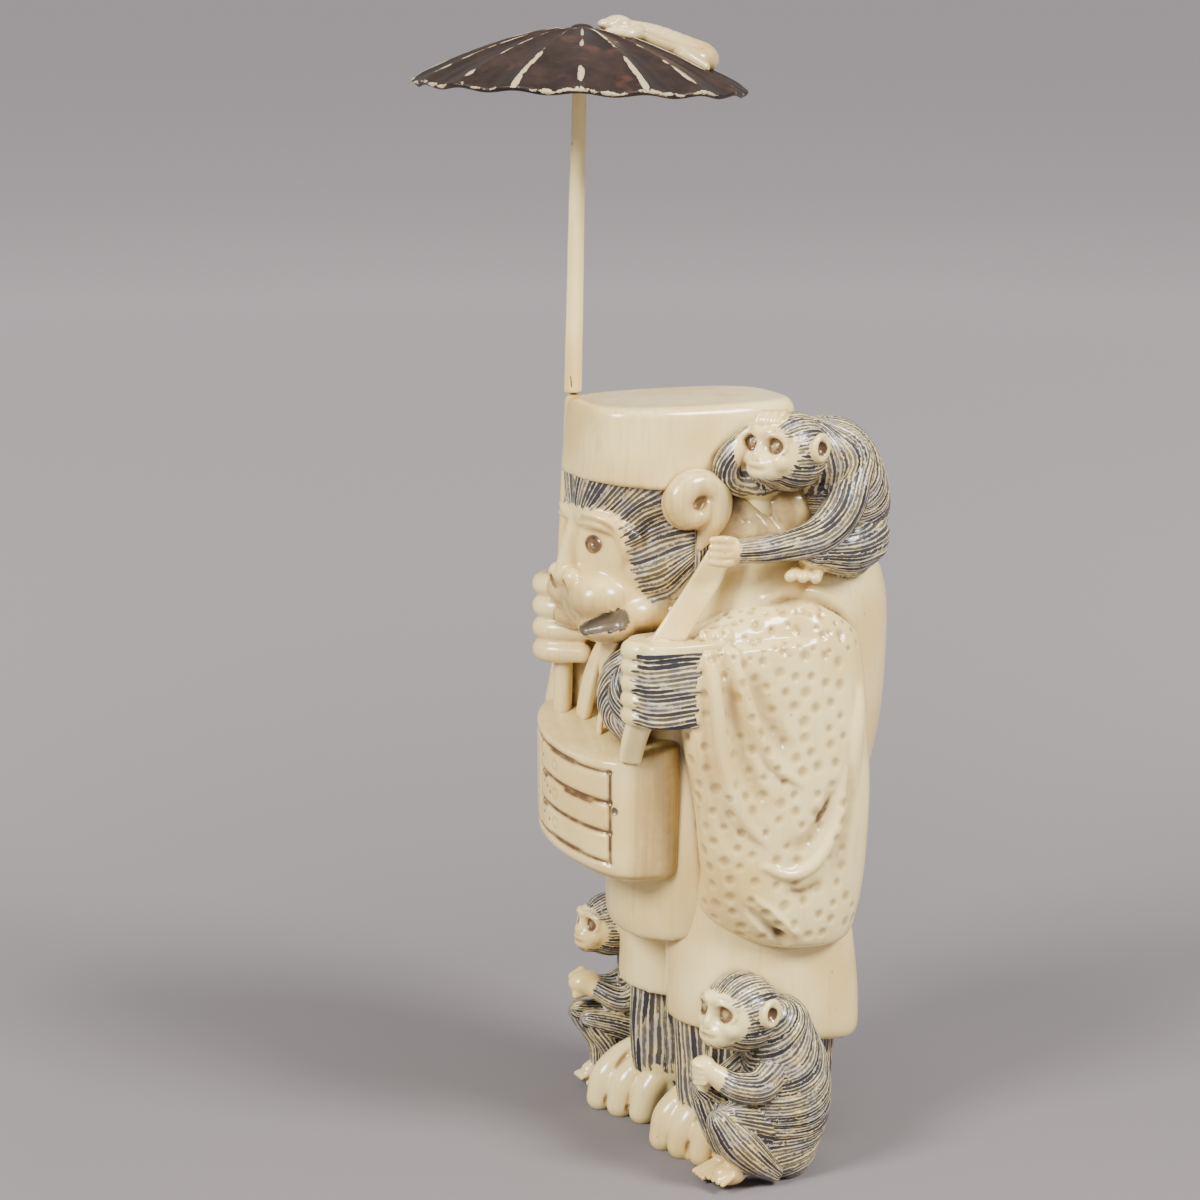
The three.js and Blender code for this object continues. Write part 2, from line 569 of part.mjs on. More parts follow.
function parasolPole() {
  const foot = [POLE.x, -21.6, CAP_TOP + JOINT_GAP + 0.02];
  const head = [CANOPY.x, CANOPY.y + 0.1, CANOPY.z + CANOPY.rise - CANOPY.wall - 0.6];
  const curve = new THREE.LineCurve3(new THREE.Vector3(...foot), new THREE.Vector3(...head));
  const geometry = new THREE.CylinderGeometry(1, 1, 1, 12, 4);
  moveEach(geometry, (p) => {
    const t = p.y + 0.5;
    const r = THREE.MathUtils.lerp(POLE.r, POLE.topR, t);
    const middle = curve.getPoint(t);
    p.set(middle.x + p.x * r, middle.y - p.z * r, middle.z);
  });
  return toSolid(geometry);
}

// ---------------------------------------------------------------- the whole
const group = new THREE.Group();
const rider = mainBody(canopyMonkey().transform(riderTurn.elements).subtract(dome(JOINT_GAP, 12, 12)));
group.add(toMesh('monkey_figure', monkeyFigure(), IVORY, 0.3));
group.add(toMesh('parasol_pole', parasolPole(), IVORY, 0.3));
group.add(toMesh('parasol_canopy', setOnPole(canopy()), LACQUER, 0.35));
group.add(toMesh('canopy_monkey', setOnPole(rider), IVORY, 0.4));

const box = new THREE.Box3().setFromObject(group, true);
const middle = box.getCenter(new THREE.Vector3());
group.position.set(-middle.x, -middle.y, 0);
group.updateMatrixWorld(true);

export default group;
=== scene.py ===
# %% [markdown]
# # A robed monkey pedlar in ivory
# The carving stands 180 mm tall: a monkey in a tall cap and a pocked sleeve carries a chest of
# drawers on a strap, three small monkeys climb about it, and it holds a parasol. This lesson builds
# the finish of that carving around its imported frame.

# %% Load the frame
import math

import bpy
import numpy as np
from mathutils import Euler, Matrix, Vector


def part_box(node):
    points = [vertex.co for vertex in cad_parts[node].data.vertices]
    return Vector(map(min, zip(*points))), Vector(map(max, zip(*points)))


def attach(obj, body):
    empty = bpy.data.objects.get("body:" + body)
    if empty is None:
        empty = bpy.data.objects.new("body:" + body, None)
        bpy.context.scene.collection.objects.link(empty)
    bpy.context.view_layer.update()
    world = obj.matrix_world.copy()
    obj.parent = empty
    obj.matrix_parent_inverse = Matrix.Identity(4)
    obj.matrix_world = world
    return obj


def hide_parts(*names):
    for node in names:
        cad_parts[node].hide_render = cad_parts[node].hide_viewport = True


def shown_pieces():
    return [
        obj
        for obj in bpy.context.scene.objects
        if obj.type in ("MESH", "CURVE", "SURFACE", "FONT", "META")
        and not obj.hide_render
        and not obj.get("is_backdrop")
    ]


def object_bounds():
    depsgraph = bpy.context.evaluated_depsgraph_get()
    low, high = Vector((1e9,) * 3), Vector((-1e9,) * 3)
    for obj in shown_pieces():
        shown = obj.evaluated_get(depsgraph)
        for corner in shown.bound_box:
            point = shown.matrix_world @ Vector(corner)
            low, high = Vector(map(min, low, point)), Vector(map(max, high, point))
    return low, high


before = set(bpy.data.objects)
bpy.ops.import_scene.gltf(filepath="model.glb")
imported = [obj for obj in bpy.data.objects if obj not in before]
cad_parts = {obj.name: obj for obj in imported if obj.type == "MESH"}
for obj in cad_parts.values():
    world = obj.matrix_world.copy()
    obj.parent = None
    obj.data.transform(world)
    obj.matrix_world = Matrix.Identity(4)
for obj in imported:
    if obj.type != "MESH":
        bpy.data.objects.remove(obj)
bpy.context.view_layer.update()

# %% [markdown]
# Carvers measure from the middle of the block, so the forms below are placed in millimetres about
# the figure's own upright axis, with its face towards -Y. The frame's parasol says where that axis
# stands: the parasol's middle is a known distance from it. Each finished piece is then scaled to
# metres and set in its place once, at the very end of its making.

# %% Where the figure's own axis stands
PARASOL_X, PARASOL_Y = -8.0, -20.3
canopy_low, canopy_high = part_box("parasol_canopy")
figure_place = (canopy_low + canopy_high) / 2 - Vector((PARASOL_X, PARASOL_Y, 0)) / 1000
figure_place.z = 0
print("figure axis at", [round(1000 * v, 2) for v in figure_place], "mm")

# %% [markdown]
# The camera looks from the figure's left front, a little above its waist, through a long lens. It
# is made first so that every later cell can be judged through it.

# %% Camera
VIEW_AZIMUTH, VIEW_ELEVATION = math.radians(67), math.radians(11.5)
VIEW_AIM = Vector((0, -20.4, 89.93)) / 1000 + figure_place
VIEW_DISTANCE = 0.49985
view_back = Vector((
    math.sin(VIEW_AZIMUTH) * math.cos(VIEW_ELEVATION),
    -math.cos(VIEW_AZIMUTH) * math.cos(VIEW_ELEVATION),
    math.sin(VIEW_ELEVATION),
))
bpy.ops.object.camera_add(location=VIEW_AIM + view_back * VIEW_DISTANCE)
camera = bpy.context.object
camera.name = "camera"
camera.rotation_euler = (-view_back).to_track_quat("-Z", "Y").to_euler()
camera.data.sensor_width = 36
camera.data.lens = 96
camera.data.clip_start = 0.01
camera.data.clip_end = 100
bpy.context.scene.camera = camera
print("camera at", [round(v, 3) for v in camera.location])

# %% [markdown]
# The setting is a plain floor and studio light. The floor's tone is painted light: it is darker round
# the carving, as painted shade, and grows paler outwards, where the lamps reach it less. Two soft lamps
# of about the same strength stand to the left and the right of the camera, a faint one hangs overhead,
# and the sky is even. Ivory needs broad lamps, because its polish shows their outlines as long soft
# gleams.

# %% Floor
# Painted light on the floor: darker near the carving, paler far off.
FLOOR_NEAR_PAINTED_SHADE, FLOOR_FAR_PAINTED_LIGHT = (0.172, 0.156, 0.163), (0.83, 0.755, 0.79)
PAINTED_LIGHT_SPAN = (0.1, 1.3)   # metres from the axis at which the floor starts and ends growing paler
MIX_SHARE, MIX_FIRST, MIX_SECOND, MIX_COLOUR = 0, 6, 7, 2   # a Mix node's colour sockets

bpy.ops.mesh.primitive_plane_add(size=60)
floor = bpy.context.object
floor.name = "floor"
paper = bpy.data.materials.new("floor_paper")
paper.use_nodes = True
nodes, links = paper.node_tree.nodes, paper.node_tree.links
nodes["Principled BSDF"].inputs["Roughness"].default_value = 0.9
place = nodes.new("ShaderNodeTexCoord")
away = nodes.new("ShaderNodeVectorMath")
away.operation = "LENGTH"
links.new(place.outputs["Object"], away.inputs[0])
painted_light_ramp = nodes.new("ShaderNodeMapRange")
painted_light_ramp.inputs["From Min"].default_value, painted_light_ramp.inputs["From Max"].default_value = PAINTED_LIGHT_SPAN
links.new(away.outputs["Value"], painted_light_ramp.inputs["Value"])
tones = nodes.new("ShaderNodeMix")
tones.data_type = "RGBA"
tones.inputs[MIX_FIRST].default_value = (*FLOOR_NEAR_PAINTED_SHADE, 1)
tones.inputs[MIX_SECOND].default_value = (*FLOOR_FAR_PAINTED_LIGHT, 1)
links.new(painted_light_ramp.outputs["Result"], tones.inputs[MIX_SHARE])
links.new(tones.outputs[MIX_COLOUR], nodes["Principled BSDF"].inputs["Base Color"])
floor.data.materials.append(paper)
floor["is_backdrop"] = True
print("floor", [round(v, 1) for v in floor.dimensions], "m")


# %% Lamps and sky
def soft_lamp(name, azimuth, elevation, distance, size, watts, colour=(1, 1, 1)):
    a, e = math.radians(azimuth), math.radians(elevation)
    away = Vector((math.sin(a) * math.cos(e), -math.cos(a) * math.cos(e), math.sin(e)))
    bpy.ops.object.light_add(type="AREA", location=VIEW_AIM + away * distance)
    lamp = bpy.context.object
    lamp.name = name
    lamp.rotation_euler = away.to_track_quat("Z", "Y").to_euler()
    lamp.data.shape = "DISK"
    lamp.data.size = size
    lamp.data.energy = watts
    lamp.data.color = colour


soft_lamp("left", 22, 34, 0.8, 0.3, 11.5, (1, 0.98, 0.92))
soft_lamp("right", 122, 40, 0.85, 0.3, 13, (1, 0.98, 0.93))
soft_lamp("top", 80, 80, 0.9, 0.4, 2.5)
sky = bpy.data.worlds.new("sky")
sky.use_nodes = True
background = sky.node_tree.nodes["Background"]
background.inputs["Color"].default_value = (1, 0.985, 0.97, 1)
background.inputs["Strength"].default_value = 0.46
bpy.context.scene.world = sky

# %% [markdown]
# ## The carver's basic forms
# Each form starts as a sphere primitive. An egg is that sphere scaled and turned. A roll is the
# sphere drawn out along a path, as a limb is, with round ends. A block is the sphere swelled out to
# level sections. They overlap, so that the next step can make one skin of them.

# %% Handling points
def only(piece):
    bpy.ops.object.select_all(action="DESELECT")
    piece.select_set(True)
    bpy.context.view_layer.objects.active = piece
    return piece


def get_points(piece):
    flat = np.empty(len(piece.data.vertices) * 3, np.float32)
    piece.data.vertices.foreach_get("co", flat)
    return flat.reshape(-1, 3).astype(float)


def set_points(piece, points):
    piece.data.vertices.foreach_set("co", np.asarray(points, np.float32).ravel())
    piece.data.update()


def get_normals(piece):
    flat = np.empty(len(piece.data.vertices) * 3, np.float32)
    piece.data.vertex_normals.foreach_get("vector", flat)
    return flat.reshape(-1, 3).astype(float)


def fade(values, start, end):
    """0 before start, 1 after end, smooth between."""
    t = np.clip((values - start) / (end - start), 0, 1)
    return t * t * (3 - 2 * t)


def turning(turns):
    return np.array(Euler([math.radians(t) for t in turns], "XYZ").to_matrix())


# %% Paths and sections
def smooth_path(points, count, even=True):
    """count points on a smooth curve through the given ones; `even` spaces them along its length."""
    points = np.atleast_2d(np.asarray(points, float))
    ends = np.vstack([2 * points[0] - points[1], points, 2 * points[-1] - points[-2]])

    def at(shares):
        place = np.clip(shares, 0, 1) * (len(points) - 1)
        i = np.minimum(place.astype(int), len(points) - 2)
        u = (place - i)[:, None]
        a, b, c, d = (ends[i + k] for k in range(4))
        return b + 0.5 * u * (c - a + u * (2 * a - 5 * b + 4 * c - d + u * (3 * (b - c) + d - a)))

    shares = np.linspace(0, 1, count)
    if not even:
        return at(shares)
    fine = np.linspace(0, 1, 20 * len(points))
    length = np.r_[0, np.cumsum(np.linalg.norm(np.diff(at(fine), axis=0), axis=1))]
    return at(np.interp(shares * length[-1], length, fine))


def path_frames(line, across=None):
    """The direction of a line at each point, and two directions across it that don't twist."""
    along = np.gradient(line, axis=0)
    along /= np.linalg.norm(along, axis=1)[:, None]
    side = np.array(across if across is not None else [0.31, 0.17, 0.93], float)
    sides = []
    for direction in along:
        side = np.array(across, float) if across is not None else side
        side = side - direction * (side @ direction)
        side = side / np.linalg.norm(side)
        sides.append(side)
    sides = np.array(sides)
    return along, sides, np.cross(sides, along)


# %% Egg, roll and block
CAP_SHARE = 0.22      # share of a drawn-out sphere's rings that round off each of its ends
ROLL_STEPS = 60       # points on a roll's middle line
SECTION_STEPS = 200   # levels at which a block's sections are worked out


def sphere(around=32, rings=24, **place):
    bpy.ops.mesh.primitive_uv_sphere_add(segments=around, ring_count=rings, **place)
    return bpy.context.object


def egg(middle, sizes, turns=(0, 0, 0)):
    return sphere(location=middle, scale=sizes, rotation=[math.radians(t) for t in turns])


def sphere_shares(piece):
    """For each point of a new sphere: its share of the way from top to bottom, and its angle."""
    points = get_points(piece)
    return np.arccos(np.clip(points[:, 2], -1, 1)) / math.pi, np.arctan2(points[:, 1], points[:, 0])


def roll(path, radii, flat=1.0, across=None, squareness=2.0, blunt=False):
    """A sphere drawn out along a path. `flat` thins it square to `across`, `blunt` flattens its ends."""
    piece = sphere(rings=20 + 6 * len(path))
    down, angle = sphere_shares(piece)
    line = smooth_path(path, ROLL_STEPS)
    along, sides, outs = path_frames(line, across)
    widths = smooth_path(np.array(radii, float)[:, None], ROLL_STEPS, even=False)[:, 0]
    share = np.clip((down - CAP_SHARE) / (1 - 2 * CAP_SHARE), 0, 1) * (ROLL_STEPS - 1)
    cap = np.clip(np.maximum(CAP_SHARE - down, down - 1 + CAP_SHARE) / CAP_SHARE, 0, 1) * math.pi / 2
    beyond = np.where(down < 0.5, -1, 1) * np.sin(cap) * (0.02 if blunt else 1)
    i = np.minimum(share.astype(int), ROLL_STEPS - 2)
    u = share - i

    def mix(values):
        lower, upper = values[i], values[i + 1]
        return lower * (1 - u[:, None]) + upper * u[:, None]

    c, s = np.cos(angle), np.sin(angle)
    reach = np.cos(cap) / (abs(c) ** squareness + abs(s) ** squareness) ** (1 / squareness)
    width = mix(widths[:, None])[:, 0]
    offset = mix(sides) * (c * reach)[:, None] + mix(outs) * (s * reach * flat)[:, None]
    set_points(piece, mix(line) + (mix(along) * beyond[:, None] + offset) * width[:, None])
    return piece


def block(sections, fall=0.0, rings=40, around=64):
    """A form through level sections (z, middle x, middle y, half x, half y, squareness), each
    lowered towards +Y by the slope `fall`, which fades out to the top."""
    piece = sphere(around=around, rings=rings)
    down, angle = sphere_shares(piece)
    lid = 0.1         # share of the rings that close each end
    up = np.clip((1 - down - lid) / (1 - 2 * lid), 0, 1)
    size = np.minimum(1, np.minimum(down, 1 - down) / lid)
    table = np.array([[*row, 2.0][:6] for row in sections], float)
    levels = np.linspace(0, 1, SECTION_STEPS)
    columns = smooth_path(table, SECTION_STEPS, even=False)
    z, x, y, rx, ry, power = (np.interp(up, levels, columns[:, k]) for k in range(6))
    c, s = np.cos(angle), np.sin(angle)
    reach = size / (abs(c) ** power + abs(s) ** power) ** (1 / power)
    depth = ry * s * reach
    set_points(piece, np.stack([x + rx * c * reach, y + depth, z - fall * depth * (1 - up)], 1))
    return piece


print("forms ready")

# %% [markdown]
# ## One skin
# Ivory is one block, so forms that grow out of each other need one skin. A voxel Remesh is the
# modelling step for that: it wraps everything that was joined in even small faces and forgets what
# is inside. A few rounds of Smooth then soften the seams, as polishing does.

# %% Fusing, cutting and scoring
def apply_modifier(piece, kind, **settings):
    only(piece)
    modifier = piece.modifiers.new(kind.lower(), kind)
    for key, value in settings.items():
        setattr(modifier, key, value)
    bpy.ops.object.modifier_apply(modifier=modifier.name)


def skin(piece, voxel, rounds):
    apply_modifier(piece, "REMESH", mode="VOXEL", voxel_size=voxel)
    if rounds:
        apply_modifier(piece, "SMOOTH", factor=0.5, iterations=rounds)
    return piece


def gather(name, parts):
    bpy.ops.object.select_all(action="DESELECT")
    for part in parts:
        part.select_set(True)
    bpy.context.view_layer.objects.active = parts[0]
    bpy.ops.object.transform_apply(location=True, rotation=True, scale=True)
    if len(parts) > 1:
        bpy.ops.object.join()
    parts[0].name = name
    return parts[0]


def fuse(name, parts, voxel, rounds=4):
    return skin(gather(name, parts), voxel, rounds)


def gouge(piece, middle, sizes, push, turns=(0, 0, 0)):
    """Cuts an egg-shaped hollow: what lies inside the egg moves along `push` to its far side."""
    turn = turning(turns)
    points = get_points(piece)
    inside = (points - middle) @ turn / sizes
    push = np.array(push, float) / np.linalg.norm(push)
    way = push @ turn / sizes
    hit = (inside ** 2).sum(1) < 1
    p = inside[hit]
    a, b, c = way @ way, p @ way, (p ** 2).sum(1) - 1
    points[hit] += ((-b + np.sqrt(b * b - a * c)) / a)[:, None] * push
    set_points(piece, points)


def line_distance(points, path, count=40):
    """Distance from each point to a smooth line, and the share of the line where it is nearest."""
    line = smooth_path(path, count)
    best = np.full(len(points), 1e9)
    share = np.zeros(len(points))
    for i in range(count - 1):
        a, step = line[i], line[i + 1] - line[i]
        t = np.clip((points - a) @ step / (step @ step), 0, 1)
        d = np.linalg.norm(points - a - t[:, None] * step, axis=1)
        nearer = d < best
        best[nearer] = d[nearer]
        share[nearer] = (i + t[nearer]) / (count - 1)
    return best, share


def paint(piece, name, values):
    """Keeps the stronger of what is painted already and the new values."""
    layer = piece.data.attributes.get(name)
    before = np.zeros(len(piece.data.vertices), np.float32)
    if layer is None:
        layer = piece.data.attributes.new(name, "FLOAT", "POINT")
    layer.data.foreach_get("value", before)
    layer.data.foreach_set("value", np.maximum(before, values).astype(np.float32))


def score(piece, path, width, depth, taper=0.15, stain=0.0, ink=0.0, sharp=1.0):
    """Cuts a groove along a path, or raises a ridge where depth is negative."""
    points = get_points(piece)
    reach = np.array(path, float)
    near = np.all((points > reach.min(0) - width) & (points < reach.max(0) + width), axis=1)
    if not near.any():
        return
    distance, share = line_distance(points[near], path)
    ends = np.minimum(fade(share, 0, taper), fade(1 - share, 0, taper)) if taper else 1.0
    amount = np.clip(1 - (distance / width) ** (2 / sharp), 0, 1) ** (2 / sharp) * ends
    points[near] -= get_normals(piece)[near] * (amount * depth)[:, None]
    set_points(piece, points)
    for name, strength in (("stain", stain), ("ink", ink)):
        if strength:
            full = np.zeros(len(points))
            full[near] = amount * strength
            paint(piece, name, full)


def dimple(piece, middles, radius, depth, stain=0.0):
    """Small round hollows at the given points."""
    points, normals = get_points(piece), get_normals(piece)
    amount = np.zeros(len(points))
    for middle, size in zip(middles, np.broadcast_to(radius, len(middles))):
        near = np.where(np.abs(points - middle).max(1) < 1.6 * size)[0]
        distance = np.linalg.norm(points[near] - middle, axis=1) / size
        amount[near] = np.maximum(amount[near], np.clip(1 - distance ** 2, 0, 1))
    set_points(piece, points - normals * (amount * depth)[:, None])
    if stain:
        paint(piece, "stain", amount * stain)


print("tools ready")

# %% [markdown]
# ## Hair
# The carver rules fine grooves along every hairy limb and rubs black ink into them. Each hairy form
# therefore gets a reader: a function that says, for any point, how far outside the form it lies,
# which strand runs there and how far along the strand it is. A point belongs to the form that it is
# nearest to. The grooves are cut in the mesh, and the same strand numbers go to the material, which
# draws the ink in them.

# %% Readers for limbs, torsos and skulls
HAIR_PITCH = 0.64     # mm between strands on the small monkeys
STRANDS_APART = 400   # strand numbers of one form start this far from those of the next
LIMB_STEPS = 40       # points on a limb's middle line


def follow(points, path, radii, across=None):
    """For each point: how far outside a limb it lies, its angle round it and place along it, and the
    limb's radius there."""
    line = smooth_path(path, LIMB_STEPS)
    along, sides, outs = path_frames(line, across)
    widths = smooth_path(np.array(radii, float)[:, None], LIMB_STEPS, even=False)[:, 0]
    _, share = line_distance(points, path, LIMB_STEPS)
    place = np.clip(share, 0, 1) * (LIMB_STEPS - 1)
    i = np.minimum(place.astype(int), LIMB_STEPS - 2)
    u = (place - i)[:, None]

    def mix(values):
        return values[i] * (1 - u) + values[i + 1] * u

    offset = points - mix(line)
    angle = np.arctan2((offset * mix(outs)).sum(1), (offset * mix(sides)).sum(1))
    length = np.linalg.norm(np.diff(line, axis=0), axis=1).sum()
    width = mix(widths[:, None])[:, 0]
    gap = np.linalg.norm(offset, axis=1) - width
    return gap, angle, share * length + (offset * mix(along)).sum(1), width


def limb_reader(path, radii, pitch=HAIR_PITCH, twist=0.0):
    """Strands run from end to end of a limb, `twist` turns round it on the way."""
    count = max(5, round(2 * math.pi * float(np.mean(radii)) / pitch))

    def read(points):
        gap, angle, along, _ = follow(points, path, radii)
        return gap, (angle / (2 * math.pi) + twist * along / 10) * count, along, count
    return read


def torso_reader(path, radii, spine):
    """Strands fall steeply from the spine and sweep forward round the flank."""
    def read(points):
        gap, angle, along, width = follow(points, path, radii, spine)
        round_side = abs(angle) * width
        swept = 8.5 * (1 - np.exp(-round_side / 5)) + 0.15 * round_side
        return gap, (along - swept) / HAIR_PITCH + STRANDS_APART / 2, round_side, 0
    return read


def skull_reader(middle, radius, turns):
    """Strands run back from the face as meridians do from a pole."""
    turn = turning(turns)
    pole = np.array([0, -1, -0.15]) / np.linalg.norm([0, -1, -0.15])
    side = np.cross(pole, [0, 0, 1])
    side /= np.linalg.norm(side)
    up = np.cross(side, pole)
    count = round(2 * math.pi * radius / HAIR_PITCH)

    def read(points):
        local = (points - middle) @ turn
        gap = (np.linalg.norm(local / radius, axis=1) - 1) * radius
        phase = np.arctan2(local @ side, local @ up) / (2 * math.pi) * count
        away = np.arccos(np.clip(local @ pole / np.linalg.norm(local, axis=1), -1, 1))
        return gap, phase, away * radius, count
    return read


# %% Growing the hair
def grow_hair(piece, readers, mask, depth=0.13):
    """Cuts the grooves, and leaves the strand number, the place along it and the mask on each corner.
    All corners of a face take one form's numbers, and a closed form's numbers don't jump within it."""
    points, normals = get_points(piece), get_normals(piece)
    read = [reader(points) for reader in readers]
    gaps, phases, places = (np.array([r[k] for r in read]) for k in range(3))
    counts = np.array([r[3] for r in read], float)
    sway = 0.4 * np.sin(points @ (0.2, 0.3, 0.2) + 1) + 0.12 * np.sin(points @ (-0.5, 0.3, 0.6))
    phases = phases + sway + STRANDS_APART * np.arange(len(readers))[:, None]
    own = gaps.argmin(0), np.arange(len(points))
    ordered = np.sort(gaps, axis=0)
    seam = ordered[1] - ordered[0] if len(readers) > 1 else np.full(len(points), 9.0)
    groove = np.exp(-((phases[own] / 2 % 1 - 0.25) / 0.13) ** 2)
    lift = mask * (0.06 * np.cos(phases[own] * 1.7 + places[own] * 0.3) - depth * groove)
    lift -= mask * 0.18 * np.exp(-(seam / 0.4) ** 2)
    set_points(piece, points + normals * lift[:, None])

    mesh = piece.data
    vertex = np.empty(len(mesh.loops), np.int32)
    mesh.loops.foreach_get("vertex_index", vertex)
    start = np.empty(len(mesh.polygons), np.int32)
    mesh.polygons.foreach_get("loop_start", start)
    face = np.repeat(np.arange(len(start)), np.diff(np.r_[start, len(vertex)]))
    face_own = np.add.reduceat(gaps[:, vertex], start, axis=1).argmin(0)[face]
    phase = phases[face_own, vertex]
    wrap = np.maximum(counts[face_own], 1)
    phase -= np.where(counts[face_own] > 0, wrap * np.round((phase - phase[start][face]) / wrap), 0)
    values = np.stack([phase, places[face_own, vertex], mask[vertex]], 1).astype(np.float32)
    mesh.attributes.new("hair", "FLOAT_VECTOR", "CORNER").data.foreach_set("vector", values.ravel())


def bare(points, spots):
    """1 where hair grows, 0 inside each egg of bare skin: its middle, half sizes and, if any, turns."""
    mask = np.ones(len(points))
    for middle, sizes, *turns in spots:
        reach = np.linalg.norm((points - middle) @ turning(*turns or [(0, 0, 0)]) / sizes, axis=1)
        mask *= fade(reach, 1.0, 1.28)
    return mask


print("hair tools ready")

# %% [markdown]
# ## The pedlar's head
# A monkey's face is built as a carver rounds it out: skull, cheeks, muzzle and brow as overlapping
# eggs under one skin. The eye hollows, nostrils and mouth are then gouged out, small balls are set
# in the eye hollows, and a second, finer skin joins them.

# %% Head: forms
EYES = (4.9, -25.7, 99.9)
CHIN = 84.5
FINE = 0.24           # mm, the skin of faces and hands

head_parts = [
    egg((0, -7.5, 99.5), (13.2, 15.2, 13)),
    egg((0, -15.5, 98.5), (10.4, 9.2, 10.5)),
    block([
        (99, 0, -8, 9, 15, 2.2),
        (102, 0, -8, 10.8, 16.4, 2.3),
        (105, 0.1, -7.8, 12, 17.2, 2.4),
        (108.5, 0.2, -7.6, 12.4, 17.5, 2.6),
        (113, 0.3, -7.4, 12.2, 17.3, 2.8),
    ]),
    egg((0, -19, 92), (8.6, 7.7, 6.4)),
    egg((0, -17.2, CHIN + 4.4), (10, 8.6, 4.9)),
    roll([(0, -24.2, 103.2), (0, -25.4, 99.4), (0, -26, 95.6)], (1.3, 1.5, 1.8)),
]
for side in (1, -1):
    head_parts += [
        egg((side * 4.5, -22.4, 91.4), (4.9, 4.9, 4.0)),
        egg((side * 5.4, -21.4, 87), (4.4, 4.8, 2.7)),
        roll([(side * 9.6, -18.4, 101.4), (side * 8.4, -21.4, 103),
              (side * 5.2, -23.9, 103.9), (0, -24.2, 103.4)], (1.2, 1.4, 1.5, 1.2)),
        roll([(side * 9.0, -20.6, 102), (side * 9.2, -20.2, 99.6), (side * 8.2, -20.2, 97)], (1.4, 1.2, 0.7)),
    ]
head = fuse("head", head_parts, 0.34, 8)
for side in (1, -1):
    gouge(head, (side * EYES[0], EYES[1], EYES[2]), (2.2, 2.5, 1.7), (0, 1, 0), (0, 0, side * 24))
    gouge(head, (side * 3.4, -26.4, 100.8), (1.3, 1.7, 1.2), (0, 1, 0), (0, 0, side * 20))
    gouge(head, (side * 6.4, -25.8, 102.3), (2.6, 1.7, 0.75), (0, 1, 0), (0, 0, side * 28))
print("head", len(head.data.polygons), "faces")

# %% Head: nose, lips and eyes
MOUTH = [(5.6, -27.0, 86.7), (7.0, -25.8, 87.1), (8.6, -23.9, 88.0), (9.7, -21.8, 88.6)]


def mouth_half(share):
    """Half the height of the open mouth, which widens towards its corner."""
    return 0.5 + 1.1 * share ** 0.7


nose_parts = [egg((0.2, -26.4, 94.4), (2.2, 1.7, 1.7))]
for side in (1, -1):
    nose_parts.append(egg((side * 2.7, -26.1, 93.9), (2.0, 1.8, 2.2), (14, 0, side * 20)))
    nose_parts.append(egg((side * EYES[0], -23.4, 99.6), (1.1, 1.1, 1.0)))
head = fuse("head", [head, *nose_parts], FINE, 2)
for side in (1, -1):
    gouge(head, (side * 2.6, -28.2, 93.0), (0.9, 1.7, 1.4), (-0.4 * side, 1, 0.1), (-20, 0, side * 14))
    for middle, share in zip(smooth_path(MOUTH, 9), np.linspace(0, 1, 9)):
        size = mouth_half(share)
        push = (-0.66 * side, 0.75, 0)
        gouge(head, middle * (side, 1, 1), (size, 0.85, size * 0.9), push, (0, 0, side * 42))
skin(head, FINE, 3)
for side in (1, -1):
    brow = [(side * 2.2, -26.2, 101.6), (side * 2.8, -26.2, 102.8), (side * 5.2, -25.4, 104),
            (side * 8.2, -23.4, 103.4), (side * 9.6, -21.8, 101.8)]
    score(head, brow, 0.8, 0.4, stain=0.7)
    lid = [(side * (EYES[0] + 2.3 * math.cos(t)), -24.3 + 0.9 * math.cos(t), EYES[2] + 1.7 * math.sin(t))
           for t in np.radians([-30, 10, 60, 100, 150, 200])]
    score(head, lid, 0.5, -0.24)
    wing = [(side * 4.5, -25.6, 95), (side * 4.6, -25.6, 93.2), (side * 3.6, -26.6, 91.8)]
    score(head, wing, 0.55, 0.35, stain=0.6)
    score(head, [(side * 1.2, -27.8, 90.2), (side * 0.7, -27.6, 88.4)], 0.5, 0.2, stain=0.3)
score(head, [(-5.6, -27.0, 86.8), (0, -27.4, 87.4), (5.6, -27.0, 86.8)], 0.6, 0.5, stain=0.6, taper=0)
print("face cut")

# %% Head: ink in the mouth and brown in the eyes
points = get_points(head)


def faced(points):
    """Places as seen square to the mouth's side."""
    points = np.asarray(points, float)
    return np.c_[0.75 * abs(points[:, 0]) + 0.66 * points[:, 1], points[:, 2], 0 * points[:, 2]]


